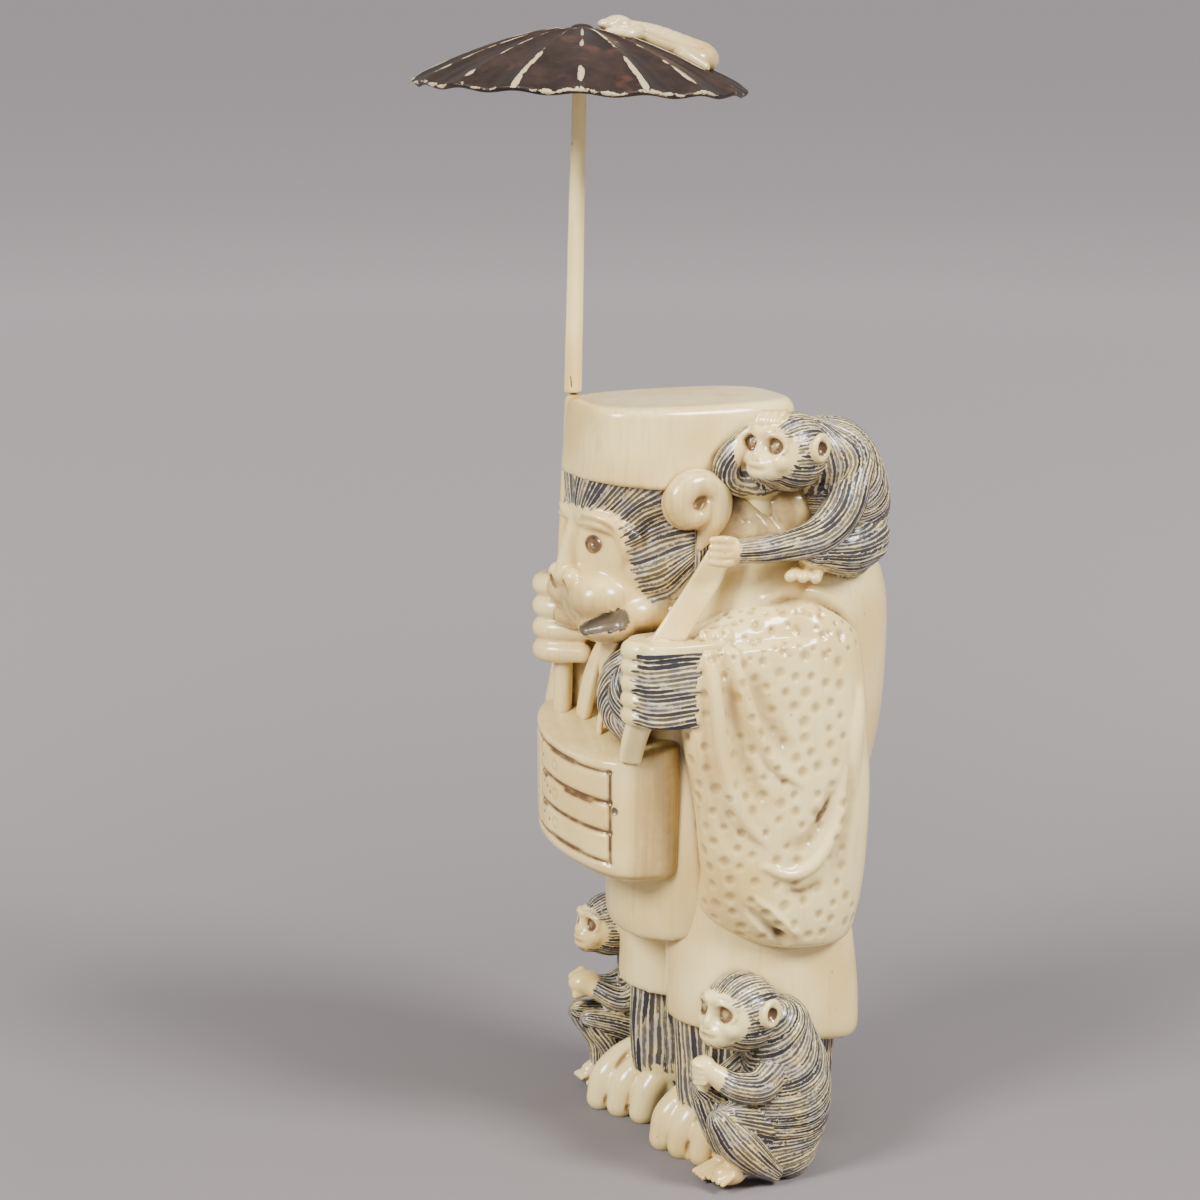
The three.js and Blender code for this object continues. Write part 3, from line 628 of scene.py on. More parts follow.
mouth_far, mouth_share = line_distance(faced(points), faced(MOUTH))
ragged = mouth_far / mouth_half(mouth_share)
ragged += 0.12 * np.sin(points[:, 1] * 4 + 2 * np.sin(points[:, 2] * 3))
there = fade(abs(points[:, 0]), 4.2, 5.8) * fade(-points[:, 1], 18.5, 20) * (points[:, 2] < 92)
paint(head, "ink", 0.8 * (1 - fade(ragged, 0.85, 1.15)) * there)
paint(head, "rim", 0.7 * (1 - fade(abs(ragged - 1.0), 0.06, 0.3)) * there)
for side in (1, -1):
    near = np.linalg.norm((points - (side * 2.6, -27.2, 93)) / (0.9, 1.6, 1.4), axis=1)
    paint(head, "stain", 1.3 * (1 - fade(near, 0.7, 1.1)))
    near = np.linalg.norm((points - (side * EYES[0], -24.4, EYES[2])) / (1.9, 2.2, 1.45), axis=1)
    ball = np.linalg.norm(points - (side * EYES[0], -24.2, EYES[2] - 0.2), axis=1)
    paint(head, "stain", (1 - fade(near, 0.9, 1.25)) * (1.0 + 0.4 * fade(ball, 0.4, 0.9)))
    paint(head, "ink", 0.5 * (1 - fade(near, 0.85, 1.1)) * fade(ball, 0.5, 1.0))
# Honey tone and stain on the lower face and the muzzle's front: partly patina, partly painted shade on sides
# lit less.
paint(head, "honey_and_shade", 0.75 * fade(abs(points[:, 0]), 6, 10) * fade(-points[:, 2], -91, -87))
paint(head, "honey_and_shade", 1.1 * fade(-points[:, 1], 18, 22) * fade(-points[:, 2], -96, -91))
paint(head, "stain", 0.5 * fade(-points[:, 1], 17, 21) * fade(-points[:, 2], -93.5, -89.5))

# %% [markdown]
# The hair of the head starts at the brow, sweeps up under the cap at the front and back to the ear
# lobe at the side. A few guide strands are set round the head, and the strands between two guides
# keep their share of the gap.

# %% Head: guide strands
HEAD_AXIS_Y = -7.5
UNROLL = 16.0         # mm of width for each radian round the head
HEAD_PITCH = 0.7
GUIDES = [              # width round the head and height, in mm
    [(0.0, 104.6), (1.2, 110.6)],
    [(2.2, 104.8), (4.4, 110.4)],
    [(4.9, 104.9), (8.6, 109.6)],
    [(7.6, 105.0), (11.6, 108.7)],
    [(9.3, 103.4), (12.3, 105.6), (15.4, 106.6)],
    [(10.4, 100.8), (14.5, 102.9), (19.2, 104.0)],
    [(10.2, 99.8), (15.4, 101.7), (21.7, 102.4)],
    [(10.0, 98.4), (15.9, 100.2), (21.9, 100.9)],
    [(10.3, 96.8), (15.9, 98.4), (21.9, 99.9)],
    [(10.6, 94.5), (16.2, 96.2), (21.9, 98.9)],
    [(10.6, 92.7), (16.2, 94.2), (21.5, 97.6)],
    [(11.8, 90.2), (17.2, 91.6), (21.2, 94.6)],
]
HAIRLINE = [
    (0, 104.9), (2.2, 104.8), (4.9, 104.9), (7.4, 105.1), (8.7, 104.5), (9.4, 103.0), (10.6, 100.6),
    (10.1, 98.8), (10.3, 96.8), (10.7, 94.5), (11.0, 92.5), (12.4, 90.4), (15, 89.4), (24, 88.6),
]


def unrolled(points):
    angle = np.arctan2(abs(points[:, 0]), HEAD_AXIS_Y - points[:, 1])
    return np.stack([angle * UNROLL, points[:, 2]], 1)


def past_line(flat, line):
    """Distance to a line drawn on the unrolled head, positive on one side and negative on the other."""
    line = smooth_path(np.c_[line, np.zeros(len(line))], 16)[:, :2]
    line = np.vstack([line[0] + 6 * (line[0] - line[1]), line, line[-1] + 6 * (line[-1] - line[-2])])
    best = np.full(len(flat), 1e9)
    signed = np.zeros(len(flat))
    for a, b in zip(line[:-1], line[1:]):
        step = b - a
        t = np.clip((flat - a) @ step / (step @ step), 0, 1)
        off = flat - a - t[:, None] * step
        d = np.hypot(*off.T)
        nearer = d < best
        best[nearer] = d[nearer]
        side = step[1] * off[:, 0] - step[0] * off[:, 1]
        signed[nearer] = (d * np.sign(side))[nearer]
    return signed


def head_reader(points):
    flat = unrolled(points)
    past = np.array([past_line(flat, guide) for guide in GUIDES])
    i = np.clip((past > 0).sum(0) - 1, 0, len(GUIDES) - 2)
    rows = np.arange(len(points))
    a, b = np.maximum(past[i, rows], 0), np.maximum(-past[i + 1, rows], 1e-3)
    ends = np.array([np.mean(guide, axis=0) for guide in GUIDES])
    counts = np.r_[0, np.cumsum(np.linalg.norm(np.diff(ends, axis=0), axis=1) / HEAD_PITCH)]
    phase = counts[i] + a / (a + b) * (counts[i + 1] - counts[i])
    return np.zeros(len(points)), phase + 60 * (points[:, 0] < 0), flat[:, 0], 0


def nape_reader(points):
    flat = unrolled(points)
    return 22.0 - flat[:, 0], flat[:, 0] / HEAD_PITCH, flat[:, 1], 0


flat = unrolled(points)
wobble = 0.5 * np.sin(flat[:, 1] * 4.1) * np.sin(flat[:, 0] * 3.3)
hairy = fade(past_line(flat, HAIRLINE[::-1]) + wobble, -0.2, 1.6)
print("hairy share", round(float(hairy.mean()), 2))
hairy *= fade(line_distance(faced(points), faced(MOUTH))[0], 2.2, 3.2)
grow_hair(head, [head_reader, nape_reader], hairy, depth=0.14)

# %% [markdown]
# The cap is a tall polished block with rounded corners and a flat top. The pole runs down its front
# corner to the chest. The ear below it curls in on itself like a scroll.

# %% Cap, lower pole and ears
CAP_TOP, CAP_RIM = 121.4, 107.8
POLE_X = -8.0
cap = fuse("cap", [
    block([
        (CAP_RIM, 0.4, -7.4, 12.6, 17.6, 3), (CAP_RIM + 0.5, 0.4, -7.4, 12.9, 17.9, 3),
        (CAP_RIM + 2.5, 0.4, -7.3, 12.7, 17.7, 3.2), (CAP_RIM + 7, 0.4, -7.1, 12.3, 17.5, 3.2),
        (CAP_TOP - 2.4, 0.4, -6.8, 12, 17.3, 3.2), (CAP_TOP - 1, 0.4, -6.8, 11.8, 17.1, 3.2),
        (CAP_TOP - 0.1, 0.4, -6.8, 10.9, 16.2, 3.2),
    ], fall=0.12),
    roll([(POLE_X, -21.6, CAP_TOP - 1), (POLE_X - 0.6, -22.3, 100), (POLE_X, -23.6, 68)], (1.35, 1.5, 1.6)),
], 0.44, 10)

SCROLL = [              # y, z and radius, from the lobe inwards
    (-9.5, 99.8, 0.6), (-8.2, 102.2, 1.7), (-6.8, 105.1, 2.2), (-6.9, 108, 2.3), (-9.2, 109.7, 2.2),
    (-12, 109.3, 2.35), (-13.4, 107.1, 2.4), (-12.3, 104.9, 2.1), (-9.9, 104.8, 1.7), (-9.0, 106.5, 1.2),
]


def scroll(side):
    """A roll that starts at the lobe and winds in towards its own middle."""
    path = [(side * (13.4 + 0.1 * i), y, z) for i, (y, z, _) in enumerate(SCROLL)]
    return roll(path, [radius for _, _, radius in SCROLL])


ears = fuse("ears", [
    scroll(1),
    scroll(-1),
    egg((12.6, -11, 106.8), (1.8, 4.6, 4.4)),
    egg((-12.6, -11, 106.8), (1.8, 4.6, 4.4)),
], FINE, 2)
points = get_points(cap)
# Painted shade: the cap grows darker towards its front (-Y), the side that is lit less.
paint(cap, "honey_and_shade", 0.4 * fade(-points[:, 1], 4, 22))
points = get_points(ears)
paint(ears, "honey_and_shade", 0.75 + 0.5 * fade(points[:, 1], -9.5, -5.5) * fade(-points[:, 2], -110, -104))
paint(ears, "stain", 1.1 * (1 - fade(np.linalg.norm(abs(points) - (14.6, 10.4, 107.2), axis=1), 1.2, 2.1)))
print("cap", len(cap.data.polygons), "ears", len(ears.data.polygons))

# %% [markdown]
# ## The dress
# The robe and the trousers are polished plain, so they are smooth blocks through level sections
# with a few folds raised or cut in them. The near sleeve is carved as crêpe: crisp fold ridges
# over a cloth that is pocked with small round hollows. The far sleeve is a plainer one of these.

# %% Robe
COAT_HEM = 38.0
ROBE_VOXEL = 0.6
robe = fuse("robe", [
    block([
        (COAT_HEM, 0, 3.2, 17.4, 16.4, 2.4), (COAT_HEM + 1, 0, 3.2, 17.8, 16.8, 2.4),
        (COAT_HEM + 8, 0, 3.8, 18.2, 17.4, 2.4), (58, 0, 4.8, 18.8, 18.4, 2.3),
        (69, 0, 6.8, 19, 19.4, 2.2), (81, 0, 7.8, 19, 19.4, 2.2), (91, 0, 8, 18.5, 18.8, 2.2),
        (99, 0, 7.6, 15.5, 16, 2.1), (104, 0, 7, 10, 11.5, 2),
    ], rings=60),
    block([
        (COAT_HEM, 0, -5.6, 13.8, 11.2, 2.3), (COAT_HEM + 1.2, 0, -5.6, 14.2, 11.7, 2.3),
        (COAT_HEM + 6, 0, -5.8, 14.4, 11.8, 2.3), (60, 0, -5.5, 14, 12, 2.3),
        (78, 0, -5, 12, 12.6, 2.2), (90, 0, -5, 11, 11, 2),
    ], fall=-0.2),
    egg((11, -1.5, 101.5), (4.2, 6.4, 6.0)),
    egg((11.4, 6.5, 104), (5.4, 6.5, 6.4)),
    roll([(12.4, -4.4, 99.6), (14.8, -1.6, 101.6), (15.0, 2.6, 101)], (1.3, 1.5, 1.4)),
    roll([(12.6, -2.6, 106.8), (14.4, -1, 104.6), (15.8, 1.4, 101.4)], (1.0, 1.2, 1.0)),
], ROBE_VOXEL, 7)
ARMHOLE = [(20.2 - 2.6 * max(0, math.sin(t)), 4.2 + 12.4 * math.cos(t), 80 + 12.6 * math.sin(t))
           for t in np.radians(np.linspace(172, -30, 12))]
for side in (1, -1):
    edge = [(side * x, y, z) for x, y, z in ARMHOLE]
    score(robe, edge, 1.6, -0.9, taper=0.1)
    under = [(side * (x + 0.4), y - 0.9 * (y - 4.2) / 12.4, z - 1.3) for x, y, z in ARMHOLE]
    score(robe, under, 0.9, 0.5, stain=0.8)
for x, lean in ((-11, -2), (-6.5, -1), (0, 0), (6.5, 1), (11, 2)):
    fold = [(x, 26, 86), (x + lean, 26.4, 66), (x + 1.6 * lean, 21, 44)]
    score(robe, fold, 2.6, 0.55, taper=0.4, stain=0.2)
collar_back = [(-9, 20, 100), (-5, 22.5, 97.5), (0, 23.4, 96.8), (5, 22.5, 97.5), (9, 20, 100)]
score(robe, collar_back, 0.8, 0.5, stain=0.6)
score(robe, [(11.8, -14, 66), (13.4, -12.6, 54), (13.8, -11.4, 41)], 0.7, 0.35, stain=0.4)
score(robe, [(5.4, -16.8, 47.5), (5.2, -16.9, 39)], 0.5, 0.25, stain=0.4)
for path in (
    [(14.6, -3.4, 104.6), (15, -1, 102.6), (15.6, 2, 99.4)],
    [(13.8, -5, 102), (15.2, -3, 99.6), (15.8, 0, 97.6)],
    [(14, 0.6, 106.4), (15.4, 2.4, 103.4), (15.8, 5, 100.6)],
):
    score(robe, path, 0.7, 0.5, stain=1.0, taper=0.2)
points = get_points(robe)
collar = fade(points[:, 2], 97.5, 100.5) * fade(points[:, 0], 8, 10) * fade(-points[:, 1], -9, -5)
paint(robe, "stain", 0.85 * collar)
print("robe", len(robe.data.polygons), "faces")

# %% Trousers
TROUSER_HEM = 20.5
HEM_FALL = 0.19
trousers = fuse("trousers", [
    block([
        (TROUSER_HEM, side * 9.6, 3.9, 8.8, 15.0, 2.5),
        (TROUSER_HEM + 0.5, side * 9.6, 3.9, 9.3, 15.6, 2.5),
        (TROUSER_HEM + 1.6, side * 9.6, 3.9, 9.55, 15.9, 2.5),
        (TROUSER_HEM + 9, side * 9.3, 3.8, 9.4, 15.8, 2.5),
        (COAT_HEM + 8, side * 8, 3, 9, 15, 2.4),
    ], fall=HEM_FALL) for side in (1, -1)
], 0.56, 8)
for side in (1, -1):
    crease = [(side * 10, 19.6, 38), (side * 10.6, 19.4, 27), (side * 11, 19, 19)]
    score(trousers, crease, 1.8, 0.4, stain=0.2)
print("trousers", len(trousers.data.polygons), "faces")

# %% Near sleeve: the sack and its folds
SLEEVE_VOXEL = 0.29
near_sleeve = fuse("near_sleeve", [
    block([
        (35.8, 12.5, 8.4, 6.4, 5.0, 2.2), (36.6, 12.5, 7.0, 9.0, 9.2, 2.2), (41, 12.6, 4.6, 10.2, 13.2, 2.3),
        (48, 12.8, 3.2, 10.2, 15.4, 2.6), (60, 12.8, 2.4, 10.2, 16.4, 3.1), (72, 12.7, 0.8, 10.0, 17.2, 3.5),
        (81, 12.5, 0, 9.8, 17.2, 3.6), (85.6, 12.2, 0, 9.4, 16.4, 3.4), (89.6, 11.8, 3, 8.2, 10.8, 2.2),
        (92.6, 10.8, 4, 5.6, 5, 2),
    ], rings=70),
    roll([(19.4, -11.4, 87), (21.6, -11.2, 82), (22.4, -10.6, 76), (22.4, -9.6, 68), (22.4, -6, 58.6),
          (22.2, -1.4, 53.2)], (1.1, 1.3, 1.25, 1.25, 1.2, 0.7), across=(0, 1, 0.2)),
    roll([(20.2, -7.6, 87.4), (22, -7, 82), (22.6, -5.2, 75.6), (22.6, -1.8, 68.4), (22.4, 3.4, 63.2),
          (22.2, 5.6, 62.4)], (1.0, 1.2, 1.25, 1.2, 1.0, 0.6), across=(0, 1, 0.2)),
    roll([(22.4, -2.4, 50.6), (22.7, 2, 48.9), (22.6, 6.2, 50.4), (22.2, 9.4, 54.6), (21.6, 11.8, 61),
          (21.2, 12.2, 70)], (0.8, 1.2, 1.2, 1.1, 0.9, 0.6), across=(1, 0, 0)),
    roll([(15.5, 15.2, 84), (20.0, 14.4, 76), (20.8, 13.4, 66), (19.8, 12, 52), (18.8, 10.8, 42)],
         (1.2, 1.4, 1.6, 1.6, 1.2), across=(0, 1, 0)),
], SLEEVE_VOXEL, 5)
points = get_points(near_sleeve)
front = np.clip(-points[:, 1] / 14, 0, 1) * np.clip(21 - points[:, 0], 0, None)
points[:, 1] += 0.5 * front * fade(points[:, 2], 40, 50)
shoulder = fade(points[:, 2], 84.7, 86.1) * fade(points[:, 0], 12, 17) * fade(-points[:, 1], -8, -2)
points[:, 0] -= 1.4 * shoulder
set_points(near_sleeve, points)
VALLEYS = [              # path, width, depth, stain
    ([(22, -9.2, 84), (22.6, -7.8, 74), (22.4, -4.4, 64), (22.2, 0.6, 57)], 1.9, 0.7, 0.6),
    ([(22, -13, 80), (22.4, -12.2, 70), (22.4, -10.4, 60), (22, -7, 52)], 1.6, 0.45, 0.4),
    ([(22.2, -4.6, 82), (22.8, -2, 74), (22.6, 3, 66.6)], 2.2, 0.65, 0.55),
    ([(22.4, 0.4, 54.4), (22.4, 4, 53.6), (22.2, 7.6, 57.4), (21.8, 9.8, 64)], 2.1, 0.6, 0.7),
    ([(21.8, 9.4, 46), (22.2, 11.6, 56), (21.8, 13, 68)], 2.2, 0.2, 0.6),
    ([(22.6, -10, 54), (22.4, -7.4, 46), (21.6, -4, 40)], 2.0, 0.2, 0.5),
    ([(22.6, -6.6, 45.0), (22.8, -2.8, 41.4), (22.2, 0.6, 38.4), (21, 3.0, 36.4)], 1.7, 1.7, 1.5),
    ([(19.6, -12.6, 86.1), (20.6, -8, 86.4), (20.8, -1, 86.6), (20.6, 5, 87)], 1.0, 0.2, 0.9),
    ([(21.2, 12.4, 70), (21.4, 11, 65), (21.8, 8.8, 60.4), (22.4, 6.6, 57), (22.6, 4.6, 55)], 1.3, 0.3, 1.5),
    ([(22.4, 0.4, 47.2), (22.4, 4.0, 46.2), (22.0, 8.2, 47.8)], 1.6, 0.2, 1.3),
    ([(20.8, 13.4, 80), (21.2, 12.8, 70), (20.8, 11.4, 60), (20, 10.2, 52)], 0.7, 0.5, 0.5),
    ([(19.6, 15.2, 78), (19.9, 14.8, 62), (18.8, 13.6, 46)], 0.5, 0.3, 0.3),
    ([(18.4, 16.2, 78), (18.8, 15.9, 62), (17.6, 14.8, 48)], 0.5, 0.3, 0.2),
    ([(19.6, -9.6, 88), (21.8, -9.2, 84), (22.4, -8.8, 80)], 0.8, 0.7, 0.4),
]
for path, width, depth, stain in VALLEYS:
    score(near_sleeve, path, width, depth, stain=stain, taper=0.25)
RIDGES = [
    [(20.8, -11.6, 85.6), (22.4, -10.8, 76), (22.6, -9.8, 68.6), (22.6, -8.2, 62.2), (22.6, -4.9, 57.2),
     (22.4, -1.4, 53.2)],
    [(21.4, -7.6, 86), (22.8, -5.6, 77.4), (23, -3.2, 71), (23, -0.4, 66.3), (22.6, 3.8, 63)],
    [(22.6, -2.1, 50.1), (23, 1.9, 49), (22.8, 5.5, 49.9), (22.6, 7.9, 52.2), (22.2, 10.6, 56.6),
     (21.6, 11.9, 69)],
    [(22.6, -5.2, 46.4), (23, -0.8, 43), (22.4, 4.4, 38)],
    [(22.2, -8.2, 44.4), (22.6, -4, 40.6), (22.2, -0.4, 37)],
]
for path in RIDGES:
    score(near_sleeve, path, 1.0, -0.6, taper=0.2, sharp=0.8)
shoulder_seam = [(20.2 - 2 * max(0, math.sin(t)), 3.0 + 11.4 * math.cos(t), 76 + 12.4 * math.sin(t))
                 for t in np.radians(np.linspace(120, 20, 8))]
score(near_sleeve, shoulder_seam, 0.7, 0.55, stain=0.9)
print("sleeve", len(near_sleeve.data.polygons), "faces")

# %% Near sleeve: the pocked cloth
CRESTS = [               # no pocks are cut on these
    [(22.4, -11.2, 82), (22.4, -9.6, 68), (22.4, -6, 58.6), (22.2, -1.4, 53.2)],
    [(22, -7, 82), (22.6, -1.8, 68.4), (22.2, 5.6, 62.4)],
    [(22.4, -2.4, 50.6), (22.6, 6.2, 50.4), (21.2, 12.2, 70)],
    [(22.2, -5.8, 44.2), (22.0, 2.4, 37)],
]


SCATTER_TRIES = 6000


def scatter(piece, allowed, apart, seed):
    """Points strewn over a piece so that no two are nearer than `apart`."""
    points = get_points(piece)
    choices = np.random.default_rng(seed).permutation(np.where(allowed)[0])[:SCATTER_TRIES]
    kept = np.empty((0, 3))
    for i in choices:
        if not len(kept) or np.linalg.norm(kept - points[i], axis=1).min() > apart:
            kept = np.vstack([kept, points[i]])
    return kept


points, normals = get_points(near_sleeve), get_normals(near_sleeve)
clear = np.min([line_distance(points, crest)[0] for crest in CRESTS], axis=0) > 1.3
cloth = clear & (normals[:, 0] > 0.1) & (points[:, 2] > 38.5) & (points[:, 2] < 92)
back_edge = (points[:, 1] > 11.5) & (points[:, 2] > 44)
pocks = scatter(near_sleeve, cloth & ~back_edge, 2.5, seed=4)
sizes = np.random.default_rng(5).uniform(0.75, 1.15, len(pocks))
dimple(near_sleeve, pocks, sizes, 0.3, stain=0.8)
fine_pocks = scatter(near_sleeve, cloth & (points[:, 2] > 83.5), 2.0, seed=6)
dimple(near_sleeve, fine_pocks, 0.6, 0.2, stain=0.9)
print("pocks", len(pocks), "and", len(fine_pocks), "small ones")

# %% Far sleeve
far_sleeve = fuse("far_sleeve", [
    block([
        (38.2, -12.5, 0, 6.4, 7, 2.2), (39, -12.5, -0.4, 8.4, 10, 2.2),
        (42, -13, -1.6, 9.8, 14.4, 2.3), (50, -13.6, -4, 10.6, 19, 2.5),
        (62, -13.8, -4.4, 10.8, 19.4, 2.5), (73, -13.6, -4.2, 10.4, 18.8, 2.4),
        (84, -12.8, -3, 9.4, 16.6, 2.3), (90, -11.6, 0, 7.6, 11, 2.1), (93, -11, 3, 5, 6, 2),
    ], rings=64),
], 0.55, 3)
for path in (
    [(-23, -11, 84), (-24.4, -9, 72), (-24.4, -3, 60)],
    [(-22.6, -5, 86), (-24.2, -2, 76), (-24, 5, 66)],
    [(-24, -8, 55), (-24.4, 0, 51), (-24, 8, 56), (-23.4, 10, 66)],
    [(-22.6, -12, 47), (-23, -3, 42)],
):
    score(far_sleeve, path, 1.6, -0.9, taper=0.35)
    score(far_sleeve, [(x, y + 2.0, z - 1.6) for x, y, z in path], 1.9, 0.6, taper=0.35, stain=0.2)
points, normals = get_points(far_sleeve), get_normals(far_sleeve)
cloth = (normals[:, 0] < -0.1) & (points[:, 2] > 42) & (points[:, 2] < 88) & (points[:, 1] < 10)
dimple(far_sleeve, scatter(far_sleeve, cloth, 2.9, seed=8), 0.72, 0.32, stain=0.55)
print("far sleeve", len(far_sleeve.data.polygons), "faces")

# %% [markdown]
# ## Hands, straps and chest
# Each fist is a palm with a row of rolled fingers. The straps are flat bands. The chest is a block
# with a bowed front, hung askew, whose drawers are engraved. Fine marks stand in its tall column and
# on its drawers, as rows of short strokes that aren't letters.

# %% Fists and chest fur
def fingers(count, low, high, path, radius):
    """Level fingers between two heights, all along one path given as (x, y)."""
    radii = [0.9 * radius, radius, radius, 0.85 * radius]
    heights = [low + (high - low) * i / (count - 1) for i in range(count)]
    return [roll([(x, y, z) for x, y in path], radii) for z in heights]


def level_reader(points):
    """Strands run level along the back of the hand."""
    return 0 * points[:, 2], points[:, 2] / 0.72, points[:, 1], 0


near_fist = fuse("near_fist", [
    egg((14.4, -16.4, 79.8), (6.2, 5.2, 7.2)),
    block([
        (73.4, 15, -13.6, 5.0, 6.8, 3), (74.4, 15.1, -13.6, 5.9, 7.7, 3.4),
        (85.2, 15.1, -13.6, 5.8, 7.7, 3.4), (86.3, 15, -13.6, 4.8, 6.8, 3),
    ]),
    *fingers(5, 74.7, 84.9, [(17.6, -16.6), (16.8, -19.8), (14.2, -21.4), (10.2, -18.4)], 1.5),
], 0.24, 3)
points = get_points(near_fist)
hairy = fade(points[:, 1] + 0.3 * np.sin(points[:, 2] * 4), -22.4, -21.2) * fade(-points[:, 2], -85.6, -84.7)
grow_hair(near_fist, [level_reader], hairy * fade(points[:, 0], 12, 15), depth=0.14)
far_fist = fuse("far_fist", [
    egg((-10.4, -20.4, 86.4), (4.6, 4.4, 6.4)),
    roll([(-11, -19, 86), (-13, -9, 84)], (5, 6.4)),
    *fingers(4, 80.6, 91.2, [(-13.6, -20.4), (-12.4, -24.2), (-8.6, -25.9), (-4.4, -21.4)], 1.8),
], 0.3, 2)
tuft = ([(6.2, -17.6, 83.4), (5.2, -19.6, 78.4), (6.2, -19.6, 73), (9, -18.6, 70.6)], (1.9, 2.9, 3.2, 2.2))
lock = ([(8.6, -18, 82), (8.2, -20.2, 77), (10, -19.6, 72)], (1.6, 2.3, 1.8))
fur = fuse("chest_fur", [roll(*tuft), roll(*lock), egg((5.4, -16.6, 76), (4.2, 3.6, 5.8))], 0.24, 2)
grow_hair(fur, [limb_reader(*tuft, pitch=0.62, twist=0.4), limb_reader(*lock, pitch=0.62, twist=-0.4)],
          np.ones(len(fur.data.vertices)), depth=0.2)
print("fists", len(near_fist.data.polygons), len(far_fist.data.polygons))

# %% Straps
across = (0.43, 0.74, -0.52)
straps = fuse("straps", [
    roll([(13, -4, 101.6), (14.8, -7.4, 97.4), (15.6, -11.6, 91.9), (15.9, -15.4, 86.9), (15.4, -17.6, 83.6)],
         (2.0, 2.1, 2.2, 2.3, 2.3), flat=0.36, across=across, squareness=6, blunt=True),
    roll([(15, -19.4, 75), (14, -20.4, 71.4), (12.6, -20.8, 67)], (2.0, 1.9, 1.7),
         flat=0.6, across=(0.25, 1, 0), squareness=5, blunt=True),
    roll([(1, -19.4, 85), (-2.4, -20.8, 77.6), (-5.4, -21.8, 66.6)], (1.4, 1.9, 1.8),
         flat=0.42, across=(1, 0, 0), squareness=4, blunt=True),
    roll([(4.6, -20.4, 85), (2.6, -20.8, 80), (1.6, -20.2, 75)], (1.9, 1.3, 0.6),
         flat=0.35, across=(1, 0.2, 0), squareness=4, blunt=True),
    roll([(3.4, -21.4, 74), (2.6, -21.6, 70), (2.0, -21.4, 67)], (0.6, 0.8, 1.0),
         flat=0.5, across=(1, 0, 0), squareness=4, blunt=True),
], 0.26, 1)
print("straps", len(straps.data.polygons), "faces")

# %% Chest of drawers
CHEST_HALF, CHEST_LOW, CHEST_HIGH = 13.2, 48.4, 68.6
CHEST_FRONT, CHEST_MID_Y = -23.2, -17.35
FAR_AHEAD, BOW = 2.6, 4.0     # how far the front's far edge and its middle stand forward


def hang(points):
    """Bows the chest's front and hangs it askew on its strap."""
    x, y, z = np.array(points, float).reshape(-1, 3).T
    ahead = np.clip((CHEST_MID_Y - y) / (CHEST_MID_Y - CHEST_FRONT), 0, 1)
    up = (z - CHEST_LOW) / (CHEST_HIGH - CHEST_LOW)
    bowed = y - ahead * (FAR_AHEAD * (CHEST_HALF - x) / (2 * CHEST_HALF) + BOW * (1 - (x / CHEST_HALF) ** 2))
    slant = -0.13 - 0.07 * up
    spread = -0.1 + 0.28 * up
    return np.stack([x, bowed, z + slant * (x - CHEST_HALF / 3) + spread * (bowed - CHEST_FRONT)], 1)


chest = block([
    (CHEST_LOW, 0, CHEST_MID_Y, 11.4, 4.4, 5), (CHEST_LOW + 0.9, 0, CHEST_MID_Y, 12.4, 5.2, 6),
    (CHEST_LOW + 2.6, 0, CHEST_MID_Y, 13.0, 5.75, 7), (60, 0, CHEST_MID_Y, 13.2, 5.85, 7),
    (CHEST_HIGH - 1.1, 0, CHEST_MID_Y, 13.2, 5.85, 7), (CHEST_HIGH - 0.3, 0, CHEST_MID_Y, 12.9, 5.6, 7),
    (CHEST_HIGH, 0, CHEST_MID_Y, 12.2, 4.9, 7),
], around=160, rings=60)
set_points(chest, hang(get_points(chest)))
chest = fuse("chest", [chest], 0.26, 9)
print("chest", len(chest.data.polygons), "faces")

# %% Chest: engraving
PANEL_LEFT, PANEL_RIGHT, PANEL_LOW, PANEL_HIGH = -10.2, 11.6, 51.6, 66.6
COLUMN = -4.8
DRAWER_LINES = (61.6, 56.6)


def front_y(x):
    """Where the rounded block's front stands at x."""
    return CHEST_MID_Y - 5.8 * (1 - abs(x / CHEST_HALF) ** 7) ** (1 / 7)


def engrave(ends, width=0.62, depth=0.4, stain=1.2, ink=0.0, taper=0.0):
    """A line cut in the chest's front between two places given as (x, z) on the unhung block."""
    (xa, za), (xb, zb) = ends
    places = [(xa + (xb - xa) * t, za + (zb - za) * t) for t in np.linspace(0, 1, 9)]
    path = hang([(x, front_y(x), z) for x, z in places])
    score(chest, path, width, depth, taper=taper, stain=stain, ink=ink)


panel = [((x, PANEL_LOW), (x, PANEL_HIGH)) for x in (PANEL_LEFT, PANEL_RIGHT)]
panel += [((PANEL_LEFT, z), (PANEL_RIGHT, z)) for z in (PANEL_LOW, PANEL_HIGH)]
panel.append(((COLUMN, PANEL_LOW), (COLUMN, PANEL_HIGH)))
for ends in panel:
    engrave(ends)
for z in DRAWER_LINES:
    engrave(((COLUMN, z), (PANEL_RIGHT, z)), width=0.7, depth=0.5, stain=1.3)
top_line, middle_line = DRAWER_LINES
WORN_EDGES = [
    ((-2.5, PANEL_HIGH), (7, PANEL_HIGH)),
    ((2, top_line - 0.4), (10, top_line - 0.4)),
    ((-4.4, top_line - 0.3), (-2, top_line - 0.5)),
    ((-2, PANEL_LOW + 0.2), (8, PANEL_LOW + 0.2)),
    ((-4.4, middle_line - 0.3), (-2, middle_line - 0.5)),
]
for ends in WORN_EDGES:
    engrave(ends, width=1.0, depth=0.16, stain=1.25, taper=0.2)
print("lines", len(panel) + len(DRAWER_LINES), "worn edges", len(WORN_EDGES))

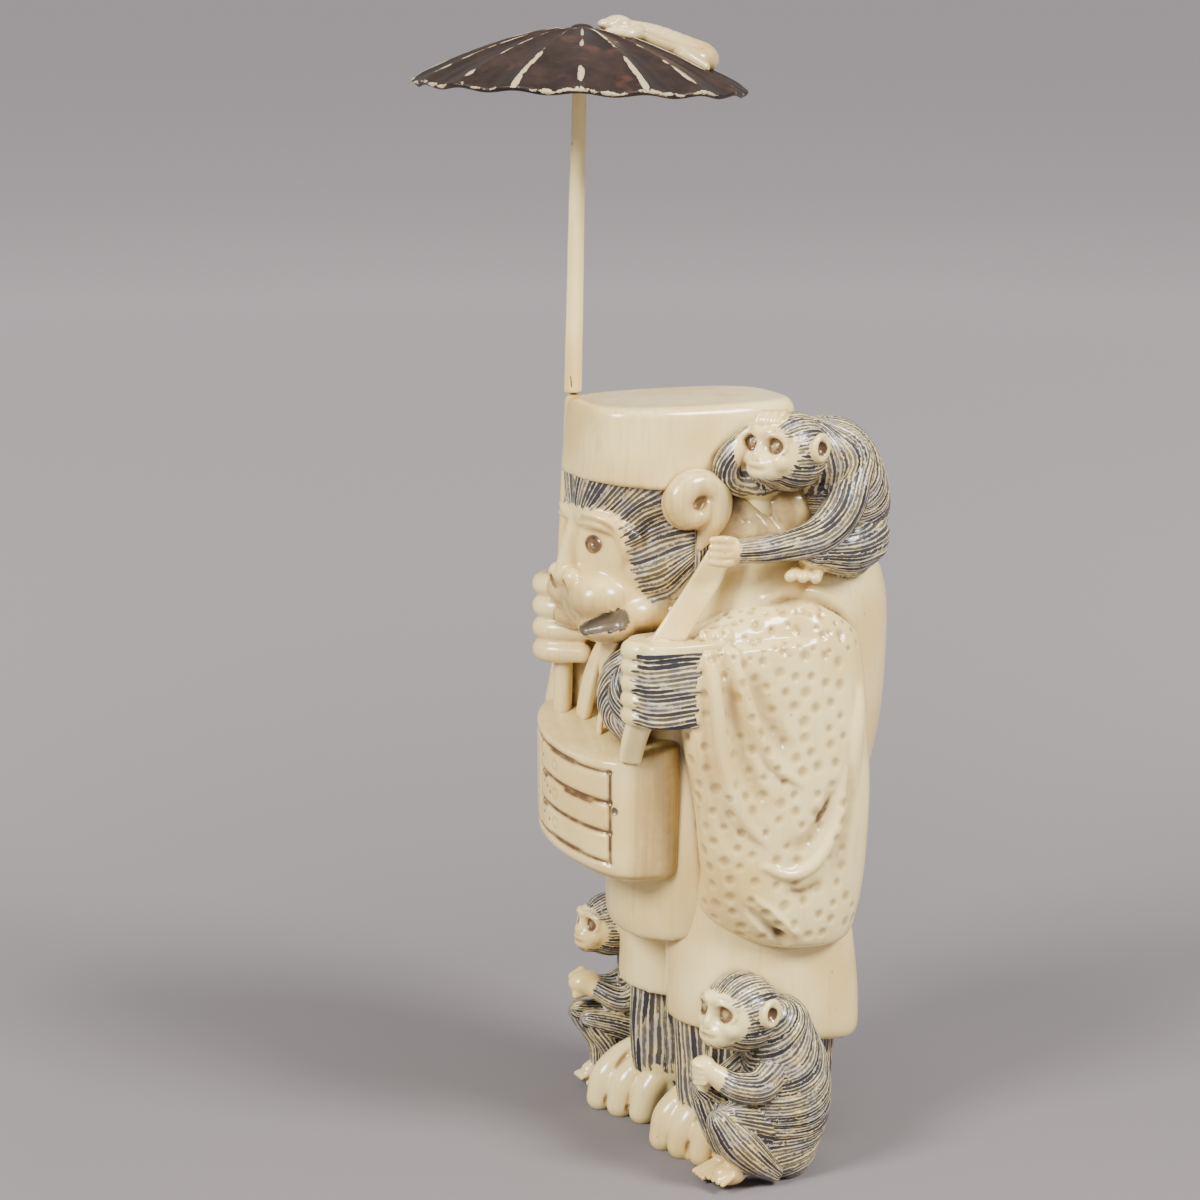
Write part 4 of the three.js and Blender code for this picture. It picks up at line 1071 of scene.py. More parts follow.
# %% Chest: marks, pulls and stains
chance = np.random.default_rng(11)
for z in (63.6, 62.6, 61.4, 60.4, 59.6, 57.6, 56.8, 56.0):
    x = -7 + chance.uniform(-0.5, 0.5)
    left, right = chance.uniform(-0.8, 0.8, 2)
    ends = (x - left, z - 0.35), (x + right * 0.6, z + chance.uniform(-0.2, 0.5))
    engrave(ends, width=0.45, depth=0.14, stain=0.3, ink=1.2, taper=0.2)
for x, z in ((-3.6, 64.6), (-3.4, 60.2), (-2.2, 59.8), (-1.2, 59.2), (-3.2, 55), (-1.4, 54.4)):
    ends = (x, z), (x + chance.uniform(-0.3, 0.5), z - chance.uniform(0.5, 1.0))
    engrave(ends, width=0.42, depth=0.12, stain=0.3, ink=1.1, taper=0.2)
drawer_edges = [PANEL_HIGH, *DRAWER_LINES, PANEL_LOW]
pulls = hang([(0.5, CHEST_FRONT, (a + b) / 2) for a, b in zip(drawer_edges, drawer_edges[1:])])
for x, y, z in pulls:
    ring = [(x + 0.8 * math.cos(t), y, z + 0.8 * math.sin(t)) for t in np.linspace(0, 2 * math.pi, 10)]
    score(chest, ring, 0.35, 0.14, taper=0, stain=0.5)
pin = hang([(12.3, CHEST_FRONT + 0.4, 60.4)])
dimple(chest, pin, 0.7, 0.4)
paint(chest, "ink", 1.3 * (1 - fade(np.linalg.norm(get_points(chest) - pin[0], axis=1), 0.5, 0.9)))
points = get_points(chest)
beside = fade(points[:, 0], 10, 12.5) * fade(points[:, 1], -22, -18)
paint(chest, "honey_and_shade", 1.1 * beside)
paint(chest, "stain", (0.6 + 0.35 * fade(points[:, 1], -17, -13)) * beside)
paint(chest, "stain", fade(get_normals(chest)[:, 2], 0.4, 0.65) * 0.3)
print("chest", len(chest.data.polygons), "faces")

# %% [markdown]
# ## Feet
# Below the trousers come hairy ankles and broad bare feet with thick toes, four on the near foot and
# three on the far one. The carving stands on their soles, so they are cut off flat at the ground with
# Bisect.

# %% Feet and ankles
def stand_flat(piece):
    only(piece)
    bpy.ops.object.mode_set(mode="EDIT")
    bpy.ops.mesh.select_all(action="SELECT")
    bpy.ops.mesh.bisect(plane_co=(0, 0, 0), plane_no=(0, 0, 1), clear_inner=True, use_fill=True)
    bpy.ops.object.mode_set(mode="OBJECT")


TOES = {                # for each side: x, front and radius
    1: ((5, -13.9, 2.4), (9.5, -12.7, 2.4), (14, -11.0, 2.3), (17.9, -8.4, 1.9)),
    -1: ((-16, -16, 2.4), (-11.5, -14.3, 2.4), (-7, -12.2, 2.3)),
}
foot_parts, ankles, toes = [], [], []
for side in (1, -1):
    foot_parts.append(egg((side * 10.6, 0.5, 1.5), (5.8, 11, 7.6)))
    foot_parts.append(block([
        (-1, side * 9, 4.6, 6, 10), (6, side * 9, 3.4, 6.4, 12),
        (10, side * 9, 2.8, 6.8, 13.4), (24, side * 9, 3, 7.4, 14),
    ]))
    ankles.append(([(side * 9, 5, -1), (side * 9, 4, 12), (side * 9, 3.6, 24)], (8, 9, 10)))
    for x, front, radius in TOES[side]:
        toe = [(x * 0.98, front + 8.2, 9.4), (x, front + 5.8, 7.8), (x, front + 3.4, 5.2),
               (x, front + radius, 1.7)]
        foot_parts.append(roll(toe, (0.9 * radius, radius, 1.06 * radius, 0.95 * radius)))
        toes.append((toe, radius))
feet = fuse("feet", foot_parts, 0.32, 3)
for side in (1, -1):
    for (xa, ya, _), (xb, yb, _) in zip(TOES[side][:-1], TOES[side][1:]):
        x, front = (xa + xb) / 2, (ya + yb) / 2
        gap = [(x, front + 6.6, 10.4), (x, front + 4.4, 8), (x, front + 2.4, 4.6), (x, front + 1.6, 0.5)]
        score(feet, gap, 0.75, 0.55, stain=0.75)
stand_flat(feet)
points = get_points(feet)
beyond = np.min([line_distance(points, toe)[0] - 1.08 * radius for toe, radius in toes], axis=0)
hairy = fade(beyond + 0.25 * np.sin(points[:, 0] * 4) + 0.25 * np.sin(points[:, 2] * 3), 0.3, 1.2)
grow_hair(feet, [limb_reader(*ankle, pitch=0.62) for ankle in ankles], hairy, depth=0.16)
print("feet", len(feet.data.polygons), "faces")

# %% [markdown]
# ## The small monkeys
# All three are built alike: a torso, arms and legs as rolls, hands and feet with small fingers, and
# a head whose face is gouged and ringed. Their heads are described once, about the middle of the
# skull at a skull radius of 1, and then turned, sized and set in place.

# %% A small head: forms
EYE_X, EYE_Z = 0.39, 0.13     # shares of the skull's radius, like every place on a small head
EAR_Z = 0.18
RING = 0.27


def seat(middle, size, turns):
    turn = turning(turns)
    return lambda x, y, z: tuple(np.array(middle) + turn @ (np.array((x, y, z)) * size))


def head_forms(middle, size, turns):
    at = seat(middle, size, turns)
    brow = [at(-0.6, -0.72, 0.34), at(-0.3, -0.92, 0.42), at(0, -0.94, 0.36), at(0.3, -0.92, 0.42),
            at(0.6, -0.72, 0.34)]
    bridge = [at(0, -0.9, 0.3), at(0, -1.0, -0.02), at(0, -1.06, -0.16)]
    forms = [
        egg(middle, [0.96 * size, size, 0.98 * size], turns),
        egg(at(0, -0.66, -0.4), [0.54 * size, 0.5 * size, 0.44 * size], turns),
        egg(at(0, -0.5, -0.02), [0.72 * size, 0.5 * size, 0.64 * size], turns),
        roll(brow, [0.13 * size] * 5),
        roll(bridge, [0.1 * size, 0.12 * size, 0.14 * size]),
    ]
    for side in (1, -1):
        forms.append(egg(at(side * 0.42, -0.7, -0.24), [0.3 * size, 0.26 * size, 0.26 * size], turns))
        forms.append(egg(at(side * 0.97, 0.12, EAR_Z), [0.12 * size, 0.3 * size, 0.33 * size], turns))
    return forms


# %% A small head: hollows, eyes and rings
def hollow_face(piece, middle, size, turns):
    """Gouges the eyes, the ears and the nostrils."""
    at, turn = seat(middle, size, turns), turning(turns)
    for side in (1, -1):
        for place, sizes, push in (
            ((side * EYE_X, -0.96, EYE_Z), (0.25, 0.25, 0.22), (0, 1, 0)),
            ((side * 1.08, 0.06, EAR_Z), (0.16, 0.17, 0.18), (-side, 0, 0)),
            ((side * 0.09, -1.18, -0.2), (0.06, 0.09, 0.07), (0, 1, 0)),
        ):
            gouge(piece, at(*place), [share * size for share in sizes], turn @ push, turns)


def face_fittings(middle, size, turns):
    """Eyeballs, and the rings round the eyes and ears."""
    at = seat(middle, size, turns)
    circle = np.radians(np.linspace(0, 345, 12))
    fittings = []
    for side in (1, -1):
        fittings.append(egg(at(side * EYE_X, -0.79, EYE_Z), [0.14 * size, 0.11 * size, 0.13 * size], turns))
        eye = [at(side * (EYE_X + RING * math.cos(t)), -0.87 + 0.12 * max(0, math.cos(t)) ** 2,
                  EYE_Z + 0.9 * RING * math.sin(t)) for t in circle]
        ear = [at(side * (1.0 - 0.05 * math.cos(t)), 0.08 + RING * math.cos(t),
                  0.2 + 1.05 * RING * math.sin(t)) for t in circle]
        for ring, thick in ((eye, 0.05), (ear, 0.085)):
            fittings.append(roll([*ring, ring[0]], [thick * size] * 13))
    return fittings


# %% A small head: lines, stains and bare skin
def finish_face(piece, middle, size, turns):
    """Cuts the mouth, brows, cheeks and nostrils, and stains the hollows."""
    at = seat(middle, size, turns)
    mouth = [at(-0.4, -0.86, -0.36), at(-0.2, -1.08, -0.46), at(0, -1.14, -0.45), at(0.2, -1.08, -0.46),
             at(0.4, -0.86, -0.36)]
    score(piece, mouth, 0.1 * size, 0.08 * size, stain=0.9, ink=0.3)
    points = get_points(piece)
    for side in (1, -1):
        brow = [at(side * 0.08, -1.02, 0.3), at(side * 0.36, -0.98, 0.46), at(side * 0.66, -0.7, 0.34)]
        cheek = [at(side * 0.2, -1.0, -0.12), at(side * 0.25, -1.0, -0.3), at(side * 0.44, -0.84, -0.4)]
        nostril = [at(side * 0.06, -1.16, -0.28), at(side * 0.16, -1.14, -0.24)]
        score(piece, brow, 0.07 * size, 0.045 * size, stain=0.85)
        score(piece, cheek, 0.06 * size, 0.035 * size, stain=0.6)
        score(piece, nostril, 0.05 * size, 0.05 * size, stain=1.1, taper=0)
        eye, ear = at(side * EYE_X, -0.84, EYE_Z), at(side * 1.0, 0.06, EAR_Z)
        for place, reach, ball in ((eye, 0.22, 0.11), (ear, 0.19, 0.0)):
            near = np.linalg.norm(points - place, axis=1) / size
            paint(piece, "stain", (1.3 - 0.4 * (near < ball)) * (1 - fade(near, 0.85 * reach, 1.15 * reach)))


def face_spots(middle, size, turns):
    """Where a small head is bare: the face, the throat and the ears."""
    at = seat(middle, size, turns)
    spots = [(at(0, -0.72, -0.06), (0.8 * size, 0.66 * size, 0.6 * size), turns)]
    spots += [(at(side * 1.05, 0.08, 0.2), (0.2 * size, 0.34 * size, 0.34 * size), turns) for side in (1, -1)]
    return spots


# %% A whole small monkey
def small_monkey(name, head, torso, spine, limbs, extras, digits, spots):
    """head is (middle, size, turns). The torso, the limbs and the digits are rolls, each a path and its
    radii. The extras are eggs, and the spots are the bare ones besides the face."""
    body = [roll(*torso), *[roll(*limb) for limb in limbs], *[egg(*extra) for extra in extras]]
    piece = fuse(name, [*head_forms(*head), *body], 0.3, 4)
    hollow_face(piece, *head)
    small = [roll(path, radii) for path, radii in digits]
    piece = fuse(name, [piece, *face_fittings(*head), *small], 0.27, 1)
    stand_flat(piece)
    finish_face(piece, *head)
    middle, size, turns = head
    readers = [skull_reader(middle, 0.98 * size, turns), torso_reader(*torso, spine)]
    readers += [limb_reader(*limb) for limb in limbs]
    points = get_points(piece)
    hairy = bare(points, [*face_spots(*head), *spots])
    grow_hair(piece, readers, hairy, depth=0.13)
    print(name, len(piece.data.polygons), "faces, hairy share", round(float(hairy.mean()), 2))
    return piece


def row_of(count, first, last, radius):
    """Digits side by side, evenly spread between the paths of the first and the last."""
    radii = [radius, 1.08 * radius, 0.86 * radius] if len(first) > 2 else [radius, 0.9 * radius]
    digits = []
    for i in range(count):
        share = i / (count - 1)
        path = [tuple(np.array(a) * (1 - share) + np.array(b) * share) for a, b in zip(first, last)]
        digits.append((path, radii))
    return digits


# %% The monkey on the shoulder
shoulder_monkey = small_monkey(
    "shoulder_monkey",
    head=((17.6, 3.4, 114.5), 6.3, (-8, 0, 18)),
    torso=([(16, 7.6, 114.2), (15.4, 12, 112.4), (14.6, 14.6, 105.6), (15.4, 14.2, 99.8)],
           (5.4, 6.9, 7.2, 6.2)),
    spine=(0, 1, 0.3),
    limbs=[
        ([(12.6, 6, 108.6), (13.4, -3.6, 109.6), (14.6, -5.4, 113.2), (16.4, -1.4, 118.4)],
         (2.4, 2.4, 2.1, 1.4)),
        ([(18.6, 14.6, 111.6), (20.8, 11, 105.4), (20.8, 6.8, 101.4), (19.6, 0, 100), (18.8, -5.4, 99.8)],
         (3.2, 3.3, 3.0, 2.3, 1.9)),
        ([(16.6, 15.4, 100.4), (18.6, 12, 99.6), (19.8, 7, 99.2)], (5.6, 4.8, 3.0)),
    ],
    extras=[((12.6, 0.6, 105.4), (2.6, 2.8, 3.4)), ((17.6, 0.4, 119.8), (1.9, 1.7, 1.1), (0, 0, 20)),
            ((14.4, 0, 111), (2.6, 3.6, 4.2))],
    digits=[
        *row_of(4, [(18.8, -5.6, 98.5), (19.2, -8, 98.2), (18.6, -10, 98.4)],
                [(18.8, -5.6, 101.2), (19.2, -8, 101.8), (18.6, -9.8, 101.8)], 0.66),
        *row_of(4, [(16.4, -0.2, 120.4), (17.2, -1.4, 120.2), (17.6, -2.0, 119.2)],
                [(18.6, 2.4, 120.6), (19.6, 1.2, 120.4), (20.0, 0.4, 119.4)], 0.6),
        *row_of(3, [(19, 4.4, 96.2), (20.6, 2.4, 95.6)], [(19.6, 7.6, 95.8), (21.4, 6.4, 95.2)], 1.0),
    ],
    spots=[((18.6, -9.0, 99.9), (3.4, 3.2, 3.6)), ((17.2, -0.6, 120.2), (3.6, 3.4, 1.8)),
           ((20, 4.4, 95.6), (3.2, 4, 2.2)), ((12.4, 0.4, 105), (3.6, 4, 4.4))],
)

# %% The monkey by the near foot
near_monkey = small_monkey(
    "near_monkey",
    head=((22.1, -5.8, 27.6), 6.4, (-4, 0, 14)),
    torso=([(22.4, 0.2, 24.4), (21.6, 1.8, 17.4), (21.2, 2.0, 10.6), (21.4, 1.2, 5.0)], (5.4, 7.0, 7.4, 6.2)),
    spine=(-0.2, 1, 0.2),
    limbs=[
        ([(24.6, -0.4, 19.4), (25.4, -4, 16.2), (24.8, -8.2, 16.6), (23.8, -11.2, 18.6)],
         (3.2, 2.8, 2.3, 1.7)),
        ([(18.6, -2.4, 18), (18.2, -7.4, 15.4), (20.4, -11, 17.2), (21.8, -12.2, 19.2)],
         (2.4, 2.2, 1.9, 1.5)),
        ([(22.4, 1, 7.4), (23.4, -4.4, 9.4), (24.8, -9.4, 11.6)], (4.2, 3.6, 2.6)),
        ([(25.6, -11, 11.4), (26, -8.8, 8.2), (26.4, -5.2, 4.6), (26.4, -2.2, 2.2)], (2.2, 3.1, 2.7, 1.6)),
        ([(18.6, 0, 8), (19.4, -7, 12), (19.6, -10.8, 14.6)], (4, 3.4, 2.8)),
        ([(19.6, -10.8, 14.2), (20, -8.2, 7), (20.4, -6.2, 2.6)], (2.7, 2.6, 2.2)),
    ],
    extras=[((23.0, -12.4, 19.4), (2.0, 1.7, 2.3)), ((25.2, -8.9, 2.6), (2.0, 3.2, 1.9)),
            ((20.4, -8.6, 1.6), (2.0, 3.4, 1.7))],
    digits=[
        *row_of(4, [(21.4, -12.6, 20.6), (22.8, -14.1, 20.4), (24.2, -13.4, 20.2)],
                [(21.6, -12.4, 17.6), (22.8, -13.8, 17.4), (24.2, -13.2, 17.6)], 0.56),
        *row_of(5, [(23.2, -10.2, 3.0), (23.0, -12.4, 2.0)], [(27.0, -9.4, 2.8), (27.4, -11.4, 1.8)], 0.5),
        *row_of(4, [(19.0, -10, 2.0), (18.8, -12.2, 1.1)], [(22.0, -10, 2.0), (22.0, -12.2, 1.1)], 0.52),
    ],
    spots=[((23.2, -12.8, 19.2), (3.4, 3.2, 3.8)), ((25.2, -10.8, 2.4), (3.6, 3.2, 2.4)),
           ((20.4, -10.8, 1.6), (3.6, 4.4, 2.4))],
)

# %% The monkey by the far foot
far_monkey = small_monkey(
    "far_monkey",
    head=((-24.4, -8.2, 28.8), 5.5, (-4, 0, 4)),
    torso=([(-23.2, -2.4, 24.4), (-22.2, 0.4, 16), (-21.6, 1.2, 10), (-21.6, 0.6, 5)], (5.0, 6.9, 6.9, 5.4)),
    spine=(0, 1, 0.2),
    limbs=[
        ([(-20.6, -3, 19.4), (-20.4, -7.4, 16.6), (-24.0, -12.2, 18.4)], (2.3, 2.1, 1.6)),
        ([(-27.4, -2, 19), (-28.2, -6.6, 16.6), (-26, -12.2, 18.4)], (2.3, 2.1, 1.6)),
        ([(-20.8, 0, 8), (-21.2, -7, 11.6), (-22, -12.8, 13.2)], (3.4, 2.6, 2.1)),
        ([(-22, -12.8, 13), (-21.6, -9.6, 8), (-21.6, -9.4, 3.6)], (2.0, 1.9, 1.5)),
        ([(-26.6, 0, 8), (-27.2, -7, 11.6), (-27, -12.8, 13.2)], (3.4, 2.6, 2.1)),
        ([(-27, -12.8, 13), (-26.8, -9.6, 8), (-26.6, -9.4, 3.6)], (2.0, 1.9, 1.5)),
    ],
    extras=[((-25.2, -12.4, 18.8), (2.5, 3.0, 2.1)), ((-21.8, -10.2, 2.2), (1.7, 2.4, 2.0)),
            ((-26.8, -10.2, 2.2), (1.7, 2.4, 2.0)), ((-21.4, -4, 6), (3.4, 5, 6.4))],
    digits=[
        *row_of(4, [(-26.8, -12.4, 20.4), (-26.6, -14.2, 19.6)],
                [(-24.4, -12.6, 17.4), (-24.4, -14.4, 17.0)], 0.8),
        *row_of(4, [(-23.0, -11.2, 2.2), (-23.2, -12.8, 1.6)],
                [(-20.6, -11.2, 2.2), (-20.6, -12.8, 1.6)], 0.46),
        *row_of(4, [(-28.2, -11.2, 2.2), (-28.4, -12.8, 1.6)],
                [(-25.8, -11.2, 2.2), (-25.8, -12.8, 1.6)], 0.46),
    ],
    spots=[((-25.2, -13.6, 18.8), (3.2, 3.2, 3.6)), ((-22, -12.6, 1.6), (3.4, 4.4, 2.4)),
           ((-27.4, -12.6, 1.6), (3.4, 4.4, 2.4))],
)

# %% [markdown]
# ## The parasol
# The pole is a long tapered peg. The canopy is a gored dome: its ribs stand proud and pale where the
# dark lacquer has worn off them, and the cloth between them sags and is scalloped at the rim.

# %% Pole
pole = roll([(POLE_X, -21.6, 121.7), (POLE_X, -20.95, 149), (POLE_X, -20.2, 176.2)], (1.34, 1.2, 1.04),
            squareness=2.3, blunt=True)
pole.name = "pole"
skin(pole, 0.21, 3)
points = get_points(pole)
waver = 0.06 * np.sin(points[:, 2] * 0.31) + 0.04 * np.sin(points[:, 2] * 0.83 + 1)
set_points(pole, points + np.c_[waver, -0.7 * waver, 0 * waver])
score(pole, [(POLE_X + 1.0, -22.5, 124.5), (POLE_X + 1.2, -22.3, 122.4)], 0.25, 0.2, ink=0.8, stain=0.8)
print("pole", len(pole.data.polygons), "faces")

# %% Canopy
CANOPY_R, CANOPY_Z, CANOPY_RISE = 26.0, 169.1, 8.8
CANOPY_RIBS = 16
CANOPY_TILT = -2.2            # degrees about X
CANOPY_WALL, CANOPY_LIP = 1.5, 0.8


def dome_height(r):
    return CANOPY_RISE * (1 - (r / CANOPY_R) ** 1.55)


def tilt_on_pole(points):
    return np.array(points) @ turning((CANOPY_TILT, 0, 0)).T + (PARASOL_X, PARASOL_Y, CANOPY_Z)


canopy = sphere(around=CANOPY_RIBS * 20, rings=90)
canopy.name = "canopy"
down, angle = sphere_shares(canopy)
above = down <= 0.5
out = np.clip(np.where(above, down, 1 - down) * 2, 0, 1)
between = 0.5 - 0.5 * np.cos(angle * CANOPY_RIBS)
ridge = np.exp(-((1 - np.cos(angle * CANOPY_RIBS)) * (out + 0.12) / (0.2 + 0.1 * out)) ** 1.2)
reach = CANOPY_R * out * (1 - 0.012 * between * out ** 6) * np.where(above, 1, 1 - 0.006 * out)
depth = np.where(above, 0, CANOPY_WALL + (CANOPY_LIP - CANOPY_WALL) * out ** 2)
sag = 0.5 * between * out ** 1.2
hump = 0.34 * ridge * fade(out, 0.05, 0.2) * fade(-out, -0.995, -0.93)
height = dome_height(CANOPY_R * out) - sag - depth + np.where(above, hump, 0)
lap = 0.12 * np.sin(angle * CANOPY_RIBS * 3) * fade(out, 0.3, 0.9) * above
set_points(canopy, np.stack([reach * np.cos(angle), reach * np.sin(angle), height + lap * between], 1))
paint(canopy, "rib", ridge ** 1.6 * fade(out, 0.04, 0.1) * above)
paint(canopy, "rim", fade(out, 0.9, 1.0) * np.where(above, 1, 0.7))
knob = egg((0, 0, CANOPY_RISE - 0.25), (1.75, 1.75, 0.75))
canopy = gather("canopy", [canopy, knob])
set_points(canopy, tilt_on_pole(get_points(canopy)))
print("canopy", len(canopy.data.polygons), "faces")

# %% The monkey on the canopy
def slope(r):
    """The height of the small creature's middle line at a distance from the canopy's top."""
    return dome_height(r) + 1.0


RIDER_TURN = 67               # degrees about the canopy's middle
rider_parts = [
    roll([(7.6, 0, slope(7.6) - 0.1), (10.4, 0.2, slope(10.4) + 0.1), (14, 0.2, slope(14) + 0.2),
          (18.4, 0, slope(18.4) + 0.3)], (1.7, 2.0, 2.1, 2.3)),
    egg((5.4, -0.3, slope(5.4) + 0.2), (2.4, 2.2, 1.6)),
    egg((3.6, -0.5, slope(3) - 0.1), (1.3, 1.2, 0.8)),
    egg((18.6, 0, slope(18.4) + 0.2), (2.6, 3.2, 2.2), (0, 18, 0)),
]
for side in (1, -1):
    rider_parts.append(roll([(8.6, side * 1.4, slope(8.6)), (7.0, side * 2.8, slope(7) - 0.7),
                             (4.2, side * 3.1, slope(4.2) - 1.1)], (1.2, 1.0, 0.75)))
    rider_parts.append(roll([(18.2, side * 2.2, slope(18) - 0.2), (15.2, side * 3.6, slope(15) - 0.7),
                             (18.8, side * 4, slope(18.8) - 1)], (1.6, 1.35, 0.9)))
    rider_parts.append(egg((5.6, -0.3 + side * 1.9, slope(5.6) + 0.9), (0.5, 0.35, 0.55)))
rider = fuse("rider", rider_parts, 0.2, 2)
for side in (1, -1):
    flank = [(9, side * 1.9, slope(9) + 0.6), (12, side * 2.1, slope(12) + 0.3),
             (15, side * 2.2, slope(15) + 0.6)]
    score(rider, flank, 0.5, 0.22, stain=0.5)
    score(rider, [(7.2, side * 1.6, slope(7) + 0.6), (6.9, side * 0.6, slope(7) + 1.5)], 0.4, 0.25, stain=0.5)
for i in range(7):
    x = 9 + 1.5 * i
    hoop = [(x, -1.6, slope(x) + 1.2), (x + 0.5, 0, slope(x) + 2.2), (x, 1.6, slope(x) + 1.2)]
    score(rider, hoop, 0.3, 0.07, stain=0.15)
points = get_points(rider)
low = dome_height(np.hypot(points[:, 0], points[:, 1])) - 0.05
points[:, 2] = np.maximum(points[:, 2], low)
paint(rider, "honey_and_shade", fade(points[:, 0], 14, 18) * fade(points[:, 2] - low, 1.5, 3))
set_points(rider, tilt_on_pole(points @ turning((0, 0, RIDER_TURN)).T))
print("rider", len(rider.data.polygons), "faces")

# %% [markdown]
# ## Where dirt and painted shade gather
# Old ivory is darkest where polishing cloths never reach. The darkening below is partly that patina
# and partly painted shade in the hollows. Each piece's skin is entered in a grid of small cells,
# which says how solid the space round any point is. A point in a deep place has much solid round it,
# and a ridge has little.

# %% The grid of solid cells
FIGURE_PIECES = [
    head, cap, ears, robe, trousers, near_sleeve, far_sleeve, near_fist, far_fist, fur, straps,
    chest, feet, shoulder_monkey, near_monkey, far_monkey,
]
IVORY_PIECES = [*FIGURE_PIECES, pole, rider]
CELL = 0.55           # mm
GRID_LOW = np.array([-36.0, -50.0, -4.0])
GRID_SHAPE = (130, 150, 345)


def triangles(piece):
    mesh = piece.data
    mesh.calc_loop_triangles()
    flat = np.empty(len(mesh.loop_triangles) * 3, np.int32)
    mesh.loop_triangles.foreach_get("vertices", flat)
    return get_points(piece)[flat.reshape(-1, 3)]


def crossings(grid, corners):
    """Marks where upright lines through the cells' middles cross a skin: +1 going in, -1 coming out."""
    corners = (corners - GRID_LOW) / CELL
    a, b, c = corners[:, 0], corners[:, 1], corners[:, 2]
    area = (b[:, 0] - a[:, 0]) * (c[:, 1] - a[:, 1]) - (b[:, 1] - a[:, 1]) * (c[:, 0] - a[:, 0])
    first = np.ceil(corners[:, :, :2].min(1)).astype(int)
    spans = np.floor(corners[:, :, :2].max(1)).astype(int) - first + 1
    for i in range(spans[:, 0].max()):
        for j in range(spans[:, 1].max()):
            use = np.where((spans[:, 0] > i) & (spans[:, 1] > j) & (abs(area) > 1e-9))[0]
            x, y = first[use, 0] + i, first[use, 1] + j
            wa = ((b[use, 0] - x) * (c[use, 1] - y) - (b[use, 1] - y) * (c[use, 0] - x)) / area[use]
            wb = ((c[use, 0] - x) * (a[use, 1] - y) - (c[use, 1] - y) * (a[use, 0] - x)) / area[use]
            inside = (wa >= 0) & (wb >= 0) & (wa + wb < 1)
            use, x, y, wa, wb = use[inside], x[inside], y[inside], wa[inside], wb[inside]
            z = wa * a[use, 2] + wb * b[use, 2] + (1 - wa - wb) * c[use, 2]
            np.add.at(grid, (x, y, np.ceil(z).astype(int)), np.where(area[use] < 0, 1, -1))


def soften(grid, reach):
    """Averages each cell with its neighbours up to `reach` cells away, twice over."""
    for _ in range(2):
        for axis in range(3):
            edges = [(0, 0)] * 3
            edges[axis] = (reach + 1, reach)
            total = np.moveaxis(np.cumsum(np.pad(grid, edges), axis=axis), axis, 0)
            grid = np.moveaxis(total[2 * reach + 1:] - total[:-2 * reach - 1], 0, axis) / (2 * reach + 1)
    return grid


marks = np.zeros(GRID_SHAPE, np.int16)
for piece in [*IVORY_PIECES, canopy]:
    crossings(marks, triangles(piece))
solid = (np.cumsum(marks, axis=2) > 0).astype(np.float32)
print("solid volume", round(float(solid.sum()) * CELL ** 3 / 1000), "cm3")
close_solid, wide_solid = soften(solid, 1), soften(solid, 4)


# %% How sheltered each point is: the patina and painted shade layers
def sample(grid, points):
    place = (points - GRID_LOW) / CELL
    i = np.floor(place).astype(int)
    u = place - i
    total = np.zeros(len(points))
    for corner in range(8):
        step = np.array([corner >> k & 1 for k in range(3)])
        weight = np.prod(np.where(step, u, 1 - u), axis=1)
        total += weight * grid[tuple((i + step).T)]
    return total


CAVITY_OUT, SHELTER_OUT = 0.9, 2.4     # mm off the skin at which each grid is read
shares = {}
for piece in IVORY_PIECES:
    points, normals = get_points(piece), get_normals(piece)
    # Fine and broad darkening of hollows, partly patina and partly painted shade.
    cavity_dirt_and_shade = fade(sample(close_solid, points + CAVITY_OUT * normals), 0.24, 0.62)
    shelter_patina_and_shade = fade(sample(wide_solid, points + SHELTER_OUT * normals), 0.3, 0.8)
    paint(piece, "cavity_dirt_and_shade", cavity_dirt_and_shade)
    paint(piece, "shelter_patina_and_shade", shelter_patina_and_shade)
    shares[piece.name] = round(float((shelter_patina_and_shade > 0.5).mean()), 2)
print("sheltered shares", shares)

# %% [markdown]
# ## Finishes
# Materials are node graphs in millimetres of the piece's own space. A few small helpers keep each
# graph readable: they add a node, mix two colours, map a range or do a step of arithmetic.

